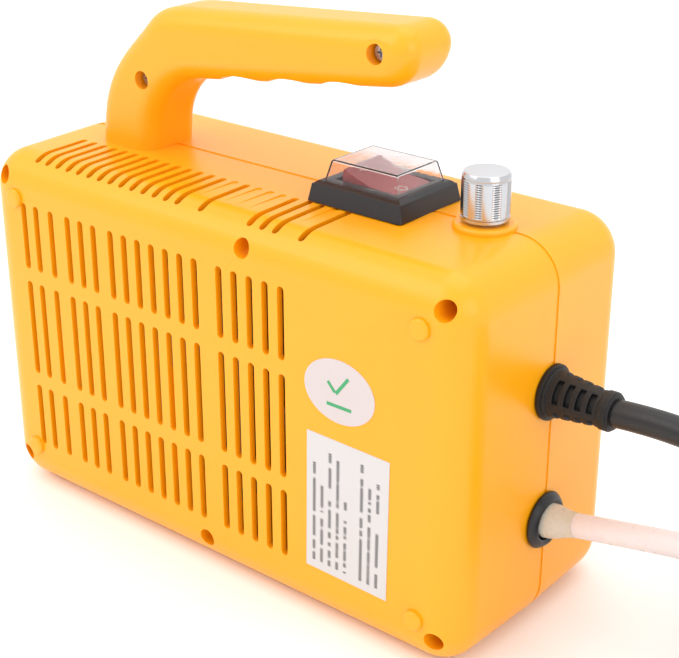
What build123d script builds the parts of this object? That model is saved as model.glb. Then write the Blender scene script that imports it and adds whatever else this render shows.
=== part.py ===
from build123d import *
from math import atan, cos, degrees, pi, radians, sin, tan
import os

# A portable electric steam cleaner: two moulded shells with a carrying handle, a switch under a clear
# cover, a steam knob, a heating block fed by a vibration pump, a mains cord and a suction hose.
# Millimetres, +Z up. The origin is the middle of the base, and the two shells meet in the plane Y = 0.
# The vented back shell is on the -Y side and the plain front shell is on the +Y side.

os.makedirs("parts", exist_ok=True)

# ---------------------------------------------------------------- driving dimensions
BODY_L = 240.0
BODY_D = 99.6
BODY_H = 149.0
CORNER_R = 16.5
FACE_R = 13.5
PLINTH_L = 200.0
PLINTH_D = 34.0
WALL = 2.5
DRAFT = 1.4
HALF_D = BODY_D / 2
END_X = BODY_L / 2

HANDLE_W = 29.6
HANDLE_R = 8.4
HANDLE_WALL = 3.4
NOSE_X = 70.6
NOSE_R = 8.6
HANDLE_TILT = 4.2
GRIP_TOP_Z = 207.8
GRIP_START_X = -40.6

VENT_W = 3.2
VENT_PITCH = 7.4
VENT_GROUPS = ((-96.6, 2), (-80.4, 1), (-70.5, 3), (-46.0, 7), (10.7, 5))
VENT_ROWS = ((21.2, 49.1), (54.4, 95.9), (101.3, 129.3))
LOUVRE_W = 2.8
LOUVRE_PITCH = 5.98
LOUVRE_FIRST_X = -92.8
LOUVRE_COUNT = 24
LOUVRE_Y = (-44.5, -18.0)
BLIND_LOUVRES = (14, 16, 17, 18, 22)
BLIND_DEPTH = 0.9

SCREW_POINTS = ((-108.5, 138.3), (21.8, 138.5), (108.8, 138.2), (-108.5, 13.0), (-0.5, 12.6), (108.6, 13.1))
HANDLE_SCREW_POINTS = ((-62.0, 177.6), (52.9, 205.3))
SCREW_HOLE_R = 3.6
BOSS_R = 5.6
SCREW_R = 1.5
SCREW_HEAD_R = 3.1
SCREW_HEAD_Y = -9.0
SCREW_L = 22.0
BUMP_POINTS = ((-101.2, 130.3), (100.4, 130.3), (100.4, 19.2), (-101.2, 19.2))
BUMP_R = 3.9
BUMP_H = 1.8
REVEAL_W = 2.0
REVEAL_DEPTH = 0.45

SWITCH_X = 46.3
BEZEL_L = 42.8
BEZEL_W = 36.5
BEZEL_H = 6.2
BEZEL_TAPER = 14.0
COVER_L = 34.6
COVER_W = 28.2
COVER_TOP_L = 31.0
COVER_TOP_W = 24.6
COVER_H = 7.6
COVER_WALL = 0.8
CUTOUT_L = 30.0
CUTOUT_W = 24.2
ROCKER_L = 24.0
ROCKER_W = 20.4
ROCKER_TILT = 12.0
ROCKER_GAP = 0.4

KNOB_X = 90.0
KNOB_R = 8.6
KNOB_H = 17.0
KNOB_Z = 152.0
BOSS_RING_R = 11.2
BOSS_RING_H = 1.9
SHAFT_R = 3.0

RELIEF_Z = 95.5
RELIEF_FLANGE_R = 10.2
RELIEF_L = 26.0
RELIEF_R = (8.4, 6.6)
GROMMET_Z = 44.6
GROMMET_R = 10.8
OUTLET_Z = 57.0
OUTLET_STUB = 26.0
OUTLET_R = 6.58

RELIEF_NECK_R = 6.3
GROMMET_NECK_R = 8.0

HEATER_X = -50.0
HEATER_Z = 57.0
HEATER_L = 90.0
HEATER_W = 44.0
HEATER_H = 55.0
BOARD_Y = 30.0
BOARD_T = 1.6
BOARD_POSTS = ((18.0, 80.0), (84.0, 80.0), (18.0, 124.0), (84.0, 124.0))
BOARD_SCREW_R = 1.25

CORD_D = 10.0
HOSE_D = 9.0
HOSE_BORE = 5.0


# ---------------------------------------------------------------- housing helpers
def drafted_block(length, height, depth, corner_r, face_r):
    """Closed block from the parting plane back towards -Y, drafted, with its far face rounded."""
    with BuildPart() as block:
        with BuildSketch(Plane.XZ):
            with Locations((0, BODY_H / 2)):
                RectangleRounded(length, height, corner_r)
        extrude(amount=depth, taper=DRAFT)
        fillet(block.faces().sort_by(Axis.Y)[0].edges(), face_r)
    return block.part


def handle_half():
    """The outer form of half the handle, from the parting plane back towards -Y."""
    slope = tan(radians(HANDLE_TILT))
    nose_top = (NOSE_X, GRIP_TOP_Z + slope * (NOSE_X - GRIP_START_X))
    with BuildPart() as grip:
        with BuildSketch(Plane.XZ):
            with BuildLine():
                outer = Spline(
                    (-90.5, 146.0), (-88.4, 163.0), (-80.6, 180.2), (-63.5, 198.0), (GRIP_START_X, GRIP_TOP_Z),
                    tangents=[(0.06, 1.0), (1.0, slope)],
                )
                rest = FilletPolyline(
                    outer @ 1, nose_top, (63.8, 194.0), (-57.8, 178.2), (-61.0, 146.0),
                    radius=[NOSE_R, 15.0, 28.0],
                )
                Line(rest @ 1, outer @ 0)
            make_face()
        extrude(amount=HANDLE_W / 2)
        rim = grip.faces().sort_by(Axis.Y)[0].edges().sort_by(Axis.Z)[1:]
        fillet(rim, HANDLE_R)
    return grip.part


def handle_hollow():
    """The hollow inside half the handle, one wall in from its outline all round."""
    with BuildPart() as hollow:
        with BuildSketch(Plane.XZ):
            with BuildLine():
                outline = FilletPolyline(
                    (-86.6, 149.6), (-84.6, 163.0), (-77.0, 178.6), (-61.0, 194.6), (-39.6, 203.9),
                    (66.4, 211.7), (61.6, 197.6), (-61.2, 181.7), (-65.0, 149.6),
                    radius=[20.0, 24.0, 24.0, 24.0, 4.0, 4.0, 22.0],
                )
                Line(outline @ 1, outline @ 0)
            make_face()
        extrude(amount=HANDLE_W / 2 - HANDLE_WALL)
        chamfer(hollow.faces().sort_by(Axis.Y)[0].edges(), 2.0)
    return hollow.part


def finish(part, name):
    """Name a finished piece and write its STEP file."""
    part.label = name
    export_step(part, f"parts/{name}.step")


outer_half = drafted_block(BODY_L, BODY_H, HALF_D, CORNER_R, FACE_R)
cavity_half = drafted_block(
    BODY_L - 2 * WALL, BODY_H - 2 * WALL, HALF_D - WALL, CORNER_R - WALL, FACE_R - WALL
)
handle_outer = handle_half()
handle_cavity = handle_hollow()

vent_centres = [
    (start + VENT_PITCH * step, (low + high) / 2, high - low)
    for start, count in VENT_GROUPS
    for step in range(count)
    for low, high in VENT_ROWS
]
scallops = [(36.5, 192.3), (12.0, 189.4), (-12.0, 186.5)]
SCALLOP_R = 27.0

with BuildPart() as finger_scallops:
    with BuildSketch(Plane.XZ.offset(-HANDLE_W)):
        with Locations(*[(x, z - SCALLOP_R) for x, z in scallops]):
            Circle(SCALLOP_R)
    extrude(amount=2 * HANDLE_W)
    with BuildSketch(Plane.XZ.offset(-HANDLE_W), mode=Mode.PRIVATE) as clear_of_top:
        with Locations((12.0, 172.0)):
            Rectangle(90.0, 42.0)
    extrude(clear_of_top.sketch, amount=2 * HANDLE_W, mode=Mode.INTERSECT)

with BuildPart() as knob_ring:
    with BuildSketch(Plane.XY.offset(BODY_H - 1.0)):
        with Locations((KNOB_X, 0)):
            Circle(BOSS_RING_R)
    extrude(amount=1.0 + BOSS_RING_H)
    fillet(knob_ring.faces().sort_by(Axis.Z)[-1].edges(), 1.2)
    split(bisect_by=Plane.XZ, keep=Keep.TOP)

# A low flat plinth under the drafted base, so that the machine stands on a plane
with BuildPart() as plinth:
    with BuildSketch(Plane.XY):
        with Locations((0, -PLINTH_D / 2)):
            Rectangle(PLINTH_L, PLINTH_D)
    extrude(amount=WALL)
    fillet(plinth.edges().filter_by(Axis.Z).group_by(Axis.Y)[0], 6.0)

# The holes that the two shells share, cut half from each
with BuildPart() as shared_holes:
    with Locations((SWITCH_X, 0, BODY_H)):
        Box(CUTOUT_L, CUTOUT_W, 8.0)
    with Locations((KNOB_X, 0, BODY_H)):
        Cylinder(3.7, 12.0)
    with Locations((END_X, 0, RELIEF_Z)):
        Cylinder(RELIEF_NECK_R + 0.2, 12.0, rotation=(0, 90, 0))
    with Locations((END_X, 0, GROMMET_Z)):
        Cylinder(GROMMET_NECK_R + 0.1, 12.0, rotation=(0, 90, 0))
    with Locations((-END_X, 0, OUTLET_Z)):
        Cylinder(OUTLET_R + 0.2, 12.0, rotation=(0, 90, 0))


def screw_columns(radius, clip):
    """Columns round the housing screws, from the parting plane to the shell's wall."""
    with BuildPart() as columns:
        with BuildSketch(Plane.XZ):
            with Locations(*SCREW_POINTS):
                Circle(radius)
        extrude(amount=HALF_D)
        add(clip, mode=Mode.INTERSECT)
    return columns.part


def cradle_ribs(depth_from):
    """Ribs that hold the heating block and the pump, standing in from the face of one shell."""
    with BuildPart() as ribs:
        with BuildSketch(Plane.XZ.offset(depth_from)):
            with Locations((HEATER_X - 32.0, HEATER_Z), (HEATER_X + 32.0, HEATER_Z)):
                Rectangle(2.0, 46.0)
        extrude(amount=HALF_D - WALL / 2 - depth_from)
    return ribs.part


back_columns = screw_columns(BOSS_R, outer_half)
front_columns = screw_columns(BOSS_R - 1.0, outer_half).mirror(Plane.XZ)
back_ribs = cradle_ribs(HEATER_W / 2 + 0.2)
front_ribs = back_ribs.mirror(Plane.XZ)

# ---------------------------------------------------------------- shells
with BuildPart() as back_shell:
    add(outer_half)
    add(plinth.part)
    add(handle_outer)
    add(finger_scallops.part, mode=Mode.SUBTRACT)
    add(cavity_half, mode=Mode.SUBTRACT)
    add(handle_cavity, mode=Mode.SUBTRACT)
    add(back_columns)
    add(back_ribs)
    add(knob_ring.part)
    with BuildSketch(Plane.XZ):
        with Locations(*HANDLE_SCREW_POINTS):
            Circle(BOSS_R - 0.6)
    extrude(amount=HANDLE_W / 2 - 0.5)
    with BuildSketch(Plane.XZ.offset(-SCREW_HEAD_Y)):
        with Locations(*SCREW_POINTS, *HANDLE_SCREW_POINTS):
            Circle(SCREW_HOLE_R)
    extrude(amount=HALF_D, mode=Mode.SUBTRACT)
    with BuildSketch(Plane.XZ.offset(-1.0)):
        with Locations(*SCREW_POINTS, *HANDLE_SCREW_POINTS):
            Circle(SCREW_R + 0.25)
    extrude(amount=2.0 - SCREW_HEAD_Y, mode=Mode.SUBTRACT)
    with BuildSketch(Plane.XZ.offset(HALF_D - WALL - 0.5)):
        for x, z, length in vent_centres:
            with Locations((x, z)):
                SlotOverall(length - 0.6, VENT_W - 0.6, rotation=90)
    extrude(amount=WALL + 1.5, taper=-5.0, mode=Mode.SUBTRACT)
    for index in range(LOUVRE_COUNT):
        louvre_x = LOUVRE_FIRST_X + LOUVRE_PITCH * index
        under_bezel = louvre_x > SWITCH_X - BEZEL_L / 2 - LOUVRE_W
        far_y = LOUVRE_Y[1] + (2.5 if under_bezel else 0.0)
        blind = index in BLIND_LOUVRES
        with BuildSketch(Plane.XY.offset(BODY_H - (BLIND_DEPTH if blind else 8.0))):
            with Locations((louvre_x, (LOUVRE_Y[0] + far_y) / 2)):
                SlotOverall(far_y - LOUVRE_Y[0], LOUVRE_W, rotation=90)
        extrude(amount=10.0, mode=Mode.SUBTRACT)
    with BuildSketch(Plane.XZ.offset(HALF_D - 1.0)):
        with Locations(*BUMP_POINTS):
            Circle(BUMP_R)
    extrude(amount=BUMP_H + 1.0)
    fillet(back_shell.faces().sort_by(Axis.Y)[0:4].edges(), 1.3)
    add(shared_holes.part, mode=Mode.SUBTRACT)
finish(back_shell.part, "back_shell")

with BuildPart() as reveal:
    with BuildSketch(Plane.XZ):
        with Locations((0, BODY_H / 2)):
            RectangleRounded(BODY_L + 4.0, BODY_H + 4.0, CORNER_R)
            RectangleRounded(
                BODY_L - 2 * REVEAL_DEPTH, BODY_H - 2 * REVEAL_DEPTH, CORNER_R - REVEAL_DEPTH,
                mode=Mode.SUBTRACT,
            )
    extrude(amount=-REVEAL_W)

with BuildPart() as front_shell:
    add(outer_half.mirror(Plane.XZ))
    add(reveal.part, mode=Mode.SUBTRACT)
    add(plinth.part.mirror(Plane.XZ))
    add(handle_outer.mirror(Plane.XZ))
    add(finger_scallops.part, mode=Mode.SUBTRACT)
    add(cavity_half.mirror(Plane.XZ), mode=Mode.SUBTRACT)
    add(handle_cavity.mirror(Plane.XZ), mode=Mode.SUBTRACT)
    add(front_columns)
    add(front_ribs)
    add(knob_ring.part.mirror(Plane.XZ))
    with BuildSketch(Plane.XZ):
        with Locations(*HANDLE_SCREW_POINTS):
            Circle(BOSS_R - 1.4)
    extrude(amount=-(HANDLE_W / 2 - 0.5))
    with BuildSketch(Plane.XZ.offset(-BOARD_Y - BOARD_T)):
        with Locations(*BOARD_POSTS):
            Circle(3.0)
    extrude(amount=-(HALF_D - WALL / 2 - BOARD_Y - BOARD_T))
    with BuildSketch(Plane.XZ.offset(1.0)):
        with Locations(*SCREW_POINTS, *HANDLE_SCREW_POINTS):
            Circle(SCREW_R)
    extrude(amount=-(SCREW_L + SCREW_HEAD_Y + 2.0), mode=Mode.SUBTRACT)
    with BuildSketch(Plane.XZ.offset(-BOARD_Y)):
        with Locations(*BOARD_POSTS):
            Circle(BOARD_SCREW_R)
    extrude(amount=-9.0, mode=Mode.SUBTRACT)
    add(shared_holes.part, mode=Mode.SUBTRACT)
finish(front_shell.part, "front_shell")


# ---------------------------------------------------------------- screws
def self_tapping_screws(points, head_y, head_r, shank_r, length):
    """Pan-head screws along +Y with a cross recess, one solid at each (x, z) point."""
    with BuildPart() as screws:
        with BuildSketch(Plane.XZ.offset(-head_y)):
            with Locations(*points):
                Circle(shank_r)
        extrude(amount=-length)
        with BuildSketch(Plane.XZ.offset(-head_y)):
            with Locations(*points):
                Circle(head_r)
        extrude(amount=2.2, taper=8.0)
        with BuildSketch(Plane.XZ.offset(2.3 - head_y)):
            with Locations(*points):
                Rectangle(3.2, 0.7)
                Rectangle(0.7, 3.2)
        extrude(amount=-1.2, mode=Mode.SUBTRACT)
    return screws.part


housing_screws = self_tapping_screws(SCREW_POINTS, SCREW_HEAD_Y, SCREW_HEAD_R, SCREW_R, SCREW_L)
finish(housing_screws, "housing_screws")
handle_screws = self_tapping_screws(HANDLE_SCREW_POINTS, SCREW_HEAD_Y, SCREW_HEAD_R, SCREW_R, SCREW_L)
finish(handle_screws, "handle_screws")

# ---------------------------------------------------------------- switch
SWITCH_TOP = BODY_H + BEZEL_H
FLANGE_L = 32.4
FLANGE_W = 26.8
FLANGE_T = 5.4
ROCKER_PIN_R = 1.4
PIVOT_Z = 151.0
POCKET_L = 27.8
POCKET_W = 21.2

with BuildPart() as switch_bezel:
    with BuildSketch(Plane.XY.offset(BODY_H)):
        with Locations((SWITCH_X, 0)):
            RectangleRounded(BEZEL_L, BEZEL_W, 1.6)
    extrude(amount=BEZEL_H, taper=BEZEL_TAPER)
    with BuildSketch(Plane.XY.offset(SWITCH_TOP)):
        with Locations((SWITCH_X, 0)):
            RectangleRounded(BEZEL_L - 3.1, BEZEL_W - 3.1, 1.2)
    extrude(amount=1.2, taper=58.0)
    with Locations((SWITCH_X, 0, BODY_H + FLANGE_T / 2)):
        Box(FLANGE_L + 0.1, FLANGE_W + 0.1, FLANGE_T, mode=Mode.SUBTRACT)
    with Locations((SWITCH_X, 0, SWITCH_TOP)):
        Box(POCKET_L, POCKET_W, 6.0, mode=Mode.SUBTRACT)
finish(switch_bezel.part, "switch_bezel")

with BuildPart() as switch_body:
    with BuildSketch(Plane.XY.offset(122.0)):
        with Locations((SWITCH_X, 0)):
            Rectangle(CUTOUT_L - 0.6, CUTOUT_W - 0.6)
    extrude(amount=BODY_H - 122.0)
    with BuildSketch(Plane.XY.offset(BODY_H)):
        with Locations((SWITCH_X, 0)):
            Rectangle(FLANGE_L, FLANGE_W)
    extrude(amount=FLANGE_T)
    with Locations((SWITCH_X, 0, 126.0 + (BODY_H - 126.0) / 2)):
        Box(26.2, POCKET_W, BODY_H - 126.0, mode=Mode.SUBTRACT)
    with Locations((SWITCH_X, 0, BODY_H + FLANGE_T / 2)):
        Box(POCKET_L, POCKET_W, FLANGE_T, mode=Mode.SUBTRACT)
    with Locations((SWITCH_X, 0, PIVOT_Z)):
        Cylinder(ROCKER_PIN_R + 0.05, FLANGE_W - 1.6, rotation=(90, 0, 0), mode=Mode.SUBTRACT)
    with Locations((SWITCH_X, 0, 128.0)):
        Box(2.0, POCKET_W, 6.0)
    with Locations((SWITCH_X, 0, 133.0)):
        Cylinder(0.8, POCKET_W, rotation=(90, 0, 0))
finish(switch_body.part, "switch_body")

rocker_lean = radians(ROCKER_TILT)
rocker_plane = Plane(
    origin=(SWITCH_X, 0, PIVOT_Z),
    x_dir=(cos(rocker_lean), 0, -sin(rocker_lean)),
    z_dir=(0, -1, 0),
)
with BuildPart() as switch_rocker:
    with BuildSketch(rocker_plane.offset(-ROCKER_W / 2)):
        with BuildLine():
            Polyline(
                (-ROCKER_L / 2, 7.4), (0, 5.8), (ROCKER_L / 2, 7.4), (ROCKER_L / 2, 5.0), (10.6, 0.0),
                (4.5, -3.6), (-4.5, -3.6), (-10.6, 0.0), (-ROCKER_L / 2, 5.0), (-ROCKER_L / 2, 7.4),
            )
        make_face()
    extrude(amount=ROCKER_W)
    with BuildSketch(rocker_plane.offset(-(FLANGE_W - 2.0) / 2)):
        Circle(ROCKER_PIN_R)
    extrude(amount=FLANGE_W - 2.0)
    with BuildSketch(rocker_plane.offset(-1.5)):
        with Locations((0, -6.0)):
            Rectangle(3.0, 6.0)
    extrude(amount=3.0)
finish(switch_rocker.part, "switch_rocker")

LEVER_Z = 134.6
with BuildPart() as contact_lever:
    with BuildSketch(
        Plane(origin=(SWITCH_X, 3.5, LEVER_Z), x_dir=(cos(rocker_lean / 2), 0, sin(rocker_lean / 2)), z_dir=(0, -1, 0))
    ):
        Rectangle(20.0, 1.2)
    extrude(amount=7.0)
    with Locations((SWITCH_X, 0, 133.0)):
        Cylinder(1.9, 7.0, rotation=(90, 0, 0))
        Cylinder(0.85, 7.0, rotation=(90, 0, 0), mode=Mode.SUBTRACT)
finish(contact_lever.part, "contact_lever")

with BuildPart() as switch_terminals:
    for side_x in (-8.0, 0.0, 8.0):
        for side_y in (-5.5, 5.5):
            with Locations((SWITCH_X + side_x, side_y, 116.5)):
                Box(0.8, 6.3, 11.0)
finish(switch_terminals.part, "switch_terminals")


def cover_shell(base_l, base_w, top_l, top_w, base_z, top_z):
    """A closed truncated pyramid with rounded corners, standing on the switch surround."""
    with BuildPart() as block:
        with BuildSketch(Plane.XY.offset(base_z)):
            with Locations((SWITCH_X, 0)):
                RectangleRounded(base_l, base_w, 1.2)
        with BuildSketch(Plane.XY.offset(top_z)):
            with Locations((SWITCH_X, 0)):
                RectangleRounded(top_l, top_w, 1.2)
        loft()
    return block.part


COVER_Z = SWITCH_TOP + 1.2
cover_outer = cover_shell(COVER_L, COVER_W, COVER_TOP_L, COVER_TOP_W, COVER_Z, COVER_Z + COVER_H)
cover_inner = cover_shell(
    COVER_L - 2 * COVER_WALL, COVER_W - 2 * COVER_WALL, COVER_TOP_L - 2 * COVER_WALL,
    COVER_TOP_W - 2 * COVER_WALL, COVER_Z - 0.01, COVER_Z + COVER_H - COVER_WALL,
)
with BuildPart() as switch_cover:
    add(cover_outer)
    with BuildSketch(Plane.XY.offset(COVER_Z)):
        with Locations((SWITCH_X, 0)):
            RectangleRounded(COVER_L + 1.2, COVER_W + 1.2, 1.6)
    extrude(amount=0.6)
    add(cover_inner, mode=Mode.SUBTRACT)
finish(switch_cover.part, "switch_cover")

# ---------------------------------------------------------------- steam knob and its potentiometer
POT_TOP = BODY_H - WALL - 0.2
with BuildPart() as potentiometer_body:
    with BuildSketch(Plane.XY.offset(POT_TOP - 10.0)):
        with Locations((KNOB_X, 0)):
            Circle(8.4)
            Rectangle(17.0, 8.0)
    extrude(amount=10.0)
    with BuildSketch(Plane.XY.offset(POT_TOP)):
        with Locations((KNOB_X, 0)):
            Circle(3.5)
    extrude(amount=7.2)
    with BuildSketch(Plane.XY.offset(POT_TOP - 6.0)):
        with Locations((KNOB_X, 0)):
            Circle(SHAFT_R + 0.05)
    extrude(amount=20.0, mode=Mode.SUBTRACT)
finish(potentiometer_body.part, "potentiometer_body")

with BuildPart() as potentiometer_pins:
    for pin_x in (-5.0, 0.0, 5.0):
        with Locations((KNOB_X + pin_x, -11.0, POT_TOP - 7.0)):
            Box(1.6, 6.0, 0.6)
finish(potentiometer_pins.part, "potentiometer_pins")

with BuildPart() as potentiometer_shaft:
    with BuildSketch(Plane.XY.offset(POT_TOP - 5.6)):
        with Locations((KNOB_X, 0)):
            Circle(SHAFT_R)
    extrude(amount=KNOB_Z + 12.0 - POT_TOP + 5.6)
    with Locations((KNOB_X + SHAFT_R, 0, KNOB_Z + 8.0)):
        Box(2.4, 2 * SHAFT_R, 8.0, mode=Mode.SUBTRACT)
finish(potentiometer_shaft.part, "potentiometer_shaft")

with BuildPart() as potentiometer_nut:
    with BuildSketch(Plane.XY.offset(BODY_H + BOSS_RING_H + 0.05)):
        with Locations((KNOB_X, 0)):
            RegularPolygon(5.5, 6, major_radius=False)
            Circle(3.55, mode=Mode.SUBTRACT)
    extrude(amount=2.0)
finish(potentiometer_nut.part, "potentiometer_nut")

with BuildPart() as steam_knob:
    with BuildSketch(Plane.XY.offset(KNOB_Z)):
        with Locations((KNOB_X, 0)):
            Circle(KNOB_R)
    extrude(amount=KNOB_H)
    chamfer(steam_knob.faces().sort_by(Axis.Z)[-1].edges(), 1.0)
    with BuildSketch(Plane.XY.offset(KNOB_Z)):
        with Locations((KNOB_X, 0)):
            Circle(7.0)
    extrude(amount=3.0, mode=Mode.SUBTRACT)
    with BuildSketch(Plane.XY.offset(KNOB_Z)):
        with Locations((KNOB_X, 0)):
            Circle(SHAFT_R)
    extrude(amount=12.2, mode=Mode.SUBTRACT)
finish(steam_knob.part, "steam_knob")

# ---------------------------------------------------------------- cord entry, hose entry, steam outlet
WALL_IN_X = END_X - WALL
INSIDE_GAP = 0.35

with BuildPart() as strain_relief:
    with BuildSketch(Plane.YZ.offset(END_X)):
        with Locations((0, RELIEF_Z)):
            Circle(RELIEF_FLANGE_R)
    extrude(amount=3.0)
    chamfer(strain_relief.faces().sort_by(Axis.X)[-1].edges(), 0.8)
    with BuildSketch(Plane.YZ.offset(END_X)):
        with Locations((0, RELIEF_Z)):
            Circle(RELIEF_R[0])
    with BuildSketch(Plane.YZ.offset(END_X + RELIEF_L)):
        with Locations((0, RELIEF_Z)):
            Circle(RELIEF_R[1])
    loft()
    with BuildSketch(Plane.YZ.offset(END_X - 9.0)):
        with Locations((0, RELIEF_Z)):
            Circle(RELIEF_NECK_R)
    extrude(amount=9.0)
    for slot in range(4):
        with BuildSketch(Plane.YZ.offset(END_X + 5.6 + 4.3 * slot)):
            with Locations((0, RELIEF_Z)):
                Circle(RELIEF_FLANGE_R)
                Circle(RELIEF_R[1] - 1.3, mode=Mode.SUBTRACT)
                Rectangle(2.8, 2 * RELIEF_FLANGE_R, rotation=-10.0, mode=Mode.SUBTRACT)
                Rectangle(2.8, 2 * RELIEF_FLANGE_R, rotation=80.0, mode=Mode.SUBTRACT)
        extrude(amount=2.2, mode=Mode.SUBTRACT)
finish(strain_relief.part, "strain_relief")

with BuildPart() as strain_relief_nut:
    with BuildSketch(Plane.YZ.offset(WALL_IN_X - INSIDE_GAP - 3.9)):
        with Locations((0, RELIEF_Z)):
            RegularPolygon(9.5, 6, major_radius=False)
            Circle(RELIEF_NECK_R + 0.02, mode=Mode.SUBTRACT)
    extrude(amount=3.9)
finish(strain_relief_nut.part, "strain_relief_nut")

with BuildPart() as hose_grommet:
    with BuildSketch(Plane.YZ.offset(END_X)):
        with Locations((0, GROMMET_Z)):
            Circle(GROMMET_R)
    extrude(amount=3.4, taper=28.0)
    with BuildSketch(Plane.YZ.offset(WALL_IN_X - INSIDE_GAP)):
        with Locations((0, GROMMET_Z)):
            Circle(GROMMET_NECK_R)
    extrude(amount=WALL + INSIDE_GAP)
    with BuildSketch(Plane.YZ.offset(WALL_IN_X - INSIDE_GAP - 2.3)):
        with Locations((0, GROMMET_Z)):
            Circle(GROMMET_NECK_R + 1.8)
    extrude(amount=2.3)
    with BuildSketch(Plane.YZ.offset(WALL_IN_X - 3.0)):
        with Locations((0, GROMMET_Z)):
            Circle(6.7)
    extrude(amount=WALL + 8.0, mode=Mode.SUBTRACT)
finish(hose_grommet.part, "hose_grommet")

with BuildPart() as steam_outlet:
    with BuildSketch(Plane.YZ.offset(-END_X)):
        with Locations((0, OUTLET_Z)):
            RegularPolygon(8.5, 6, major_radius=False)
    extrude(amount=-6.0)
    with BuildSketch(Plane.YZ.offset(-END_X - OUTLET_STUB)):
        with Locations((0, OUTLET_Z)):
            Circle(OUTLET_R)
    extrude(amount=OUTLET_STUB + 10.0)
    chamfer(steam_outlet.faces().sort_by(Axis.X)[0].edges(), 1.0)
    with BuildSketch(Plane.YZ.offset(-END_X - OUTLET_STUB)):
        with Locations((0, OUTLET_Z)):
            Circle(3.0)
    extrude(amount=OUTLET_STUB + 6.0, mode=Mode.SUBTRACT)
    with BuildSketch(Plane.YZ.offset(-END_X + 4.0)):
        with Locations((0, OUTLET_Z)):
            Circle(4.02)
    extrude(amount=7.0, mode=Mode.SUBTRACT)
finish(steam_outlet.part, "steam_outlet")

with BuildPart() as outlet_nut:
    with BuildSketch(Plane.YZ.offset(INSIDE_GAP - WALL_IN_X)):
        with Locations((0, OUTLET_Z)):
            RegularPolygon(9.5, 6, major_radius=False)
            Circle(OUTLET_R + 0.02, mode=Mode.SUBTRACT)
    extrude(amount=4.0)
finish(outlet_nut.part, "outlet_nut")

# ---------------------------------------------------------------- heating block
HEATER_END = HEATER_X + HEATER_L / 2
HEATER_START = HEATER_X - HEATER_L / 2
HEATER_TOP = HEATER_Z + HEATER_H / 2
HEATER_LOW = HEATER_Z - HEATER_H / 2
FLOOR_Z = WALL + HEATER_W / 2 * tan(radians(DRAFT))

with BuildPart() as heater_block:
    with Locations((HEATER_X, 0, HEATER_Z)):
        Box(HEATER_L, HEATER_W, HEATER_H)
    fillet(heater_block.edges().filter_by(Axis.Y), 6.0)
    with BuildSketch(Plane.XZ.offset(-HEATER_W / 2)):
        with Locations(*[(HEATER_X + 12.0 * step, HEATER_Z) for step in range(-2, 3)]):
            SlotOverall(36.0, 4.0, rotation=90)
    extrude(amount=3.0, mode=Mode.SUBTRACT)
    with BuildSketch(Plane.YZ.offset(HEATER_START)):
        with Locations((0, OUTLET_Z)):
            Circle(4.02)
    extrude(amount=8.0, mode=Mode.SUBTRACT)
    with BuildSketch(Plane.YZ.offset(HEATER_END - 8.0)):
        with Locations((0, GROMMET_Z)):
            Circle(3.0)
    extrude(amount=8.0, mode=Mode.SUBTRACT)
finish(heater_block.part, "heater_block")

with BuildPart() as steam_pipe:
    with BuildSketch(Plane.YZ.offset(-END_X + 4.5)):
        with Locations((0, OUTLET_Z)):
            Circle(4.0)
            Circle(2.8, mode=Mode.SUBTRACT)
    extrude(amount=HEATER_START + 7.5 - (-END_X + 4.5))
finish(steam_pipe.part, "steam_pipe")

with BuildPart() as heater_nipple:
    with BuildSketch(Plane.YZ.offset(HEATER_END - 7.5)):
        with Locations((0, GROMMET_Z)):
            Circle(2.98)
            Circle(1.6, mode=Mode.SUBTRACT)
    extrude(amount=17.0)
finish(heater_nipple.part, "heater_nipple")

with BuildPart() as heater_terminals:
    for pin_y in (-12.0, 12.0):
        with BuildSketch(Plane.YZ.offset(HEATER_END)):
            with Locations((pin_y, HEATER_Z + 14.0)):
                Circle(4.0)
        extrude(amount=6.0)
        with Locations((HEATER_END + 10.0, pin_y, HEATER_Z + 14.0)):
            Box(9.0, 6.3, 0.8)
finish(heater_terminals.part, "heater_terminals")

with BuildPart() as thermostat:
    with BuildSketch(Plane.XY.offset(HEATER_TOP)):
        with Locations((HEATER_X - 14.0, 0)):
            Circle(9.0)
    extrude(amount=4.0)
    with BuildSketch(Plane.XY.offset(HEATER_TOP + 4.0)):
        with Locations((HEATER_X - 14.0, 0)):
            Circle(7.4)
    extrude(amount=5.0)
    for tab_x in (-5.0, 5.0):
        with Locations((HEATER_X - 14.0 + tab_x, 0, HEATER_TOP + 12.0)):
            Box(0.8, 6.3, 6.4)
finish(thermostat.part, "thermostat")

with BuildPart() as thermal_fuse:
    with BuildSketch(Plane.XZ.offset(-7.0)):
        with Locations((HEATER_X + 18.0, HEATER_TOP + 2.6)):
            Circle(2.4)
    extrude(amount=14.0)
    with BuildSketch(Plane.XZ.offset(-17.0)):
        with Locations((HEATER_X + 18.0, HEATER_TOP + 2.6)):
            Circle(0.6)
    extrude(amount=34.0)
finish(thermal_fuse.part, "thermal_fuse")

with BuildPart() as fuse_clip:
    with BuildSketch(Plane.XZ.offset(-2.5)):
        with Locations((HEATER_X + 18.0, HEATER_TOP)):
            Rectangle(16.0, 1.0, align=(Align.CENTER, Align.MIN))
        with Locations((HEATER_X + 18.0, HEATER_TOP + 2.6)):
            Circle(3.3)
            Circle(2.42, mode=Mode.SUBTRACT)
        with Locations((HEATER_X + 18.0, HEATER_TOP - 2.0)):
            Rectangle(20.0, 4.0, mode=Mode.SUBTRACT)
    extrude(amount=5.0)
    with Locations((HEATER_X + 18.0, 0, HEATER_TOP + 2.6)):
        Cylinder(2.42, 8.0, rotation=(90, 0, 0), mode=Mode.SUBTRACT)
finish(fuse_clip.part, "fuse_clip")

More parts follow.
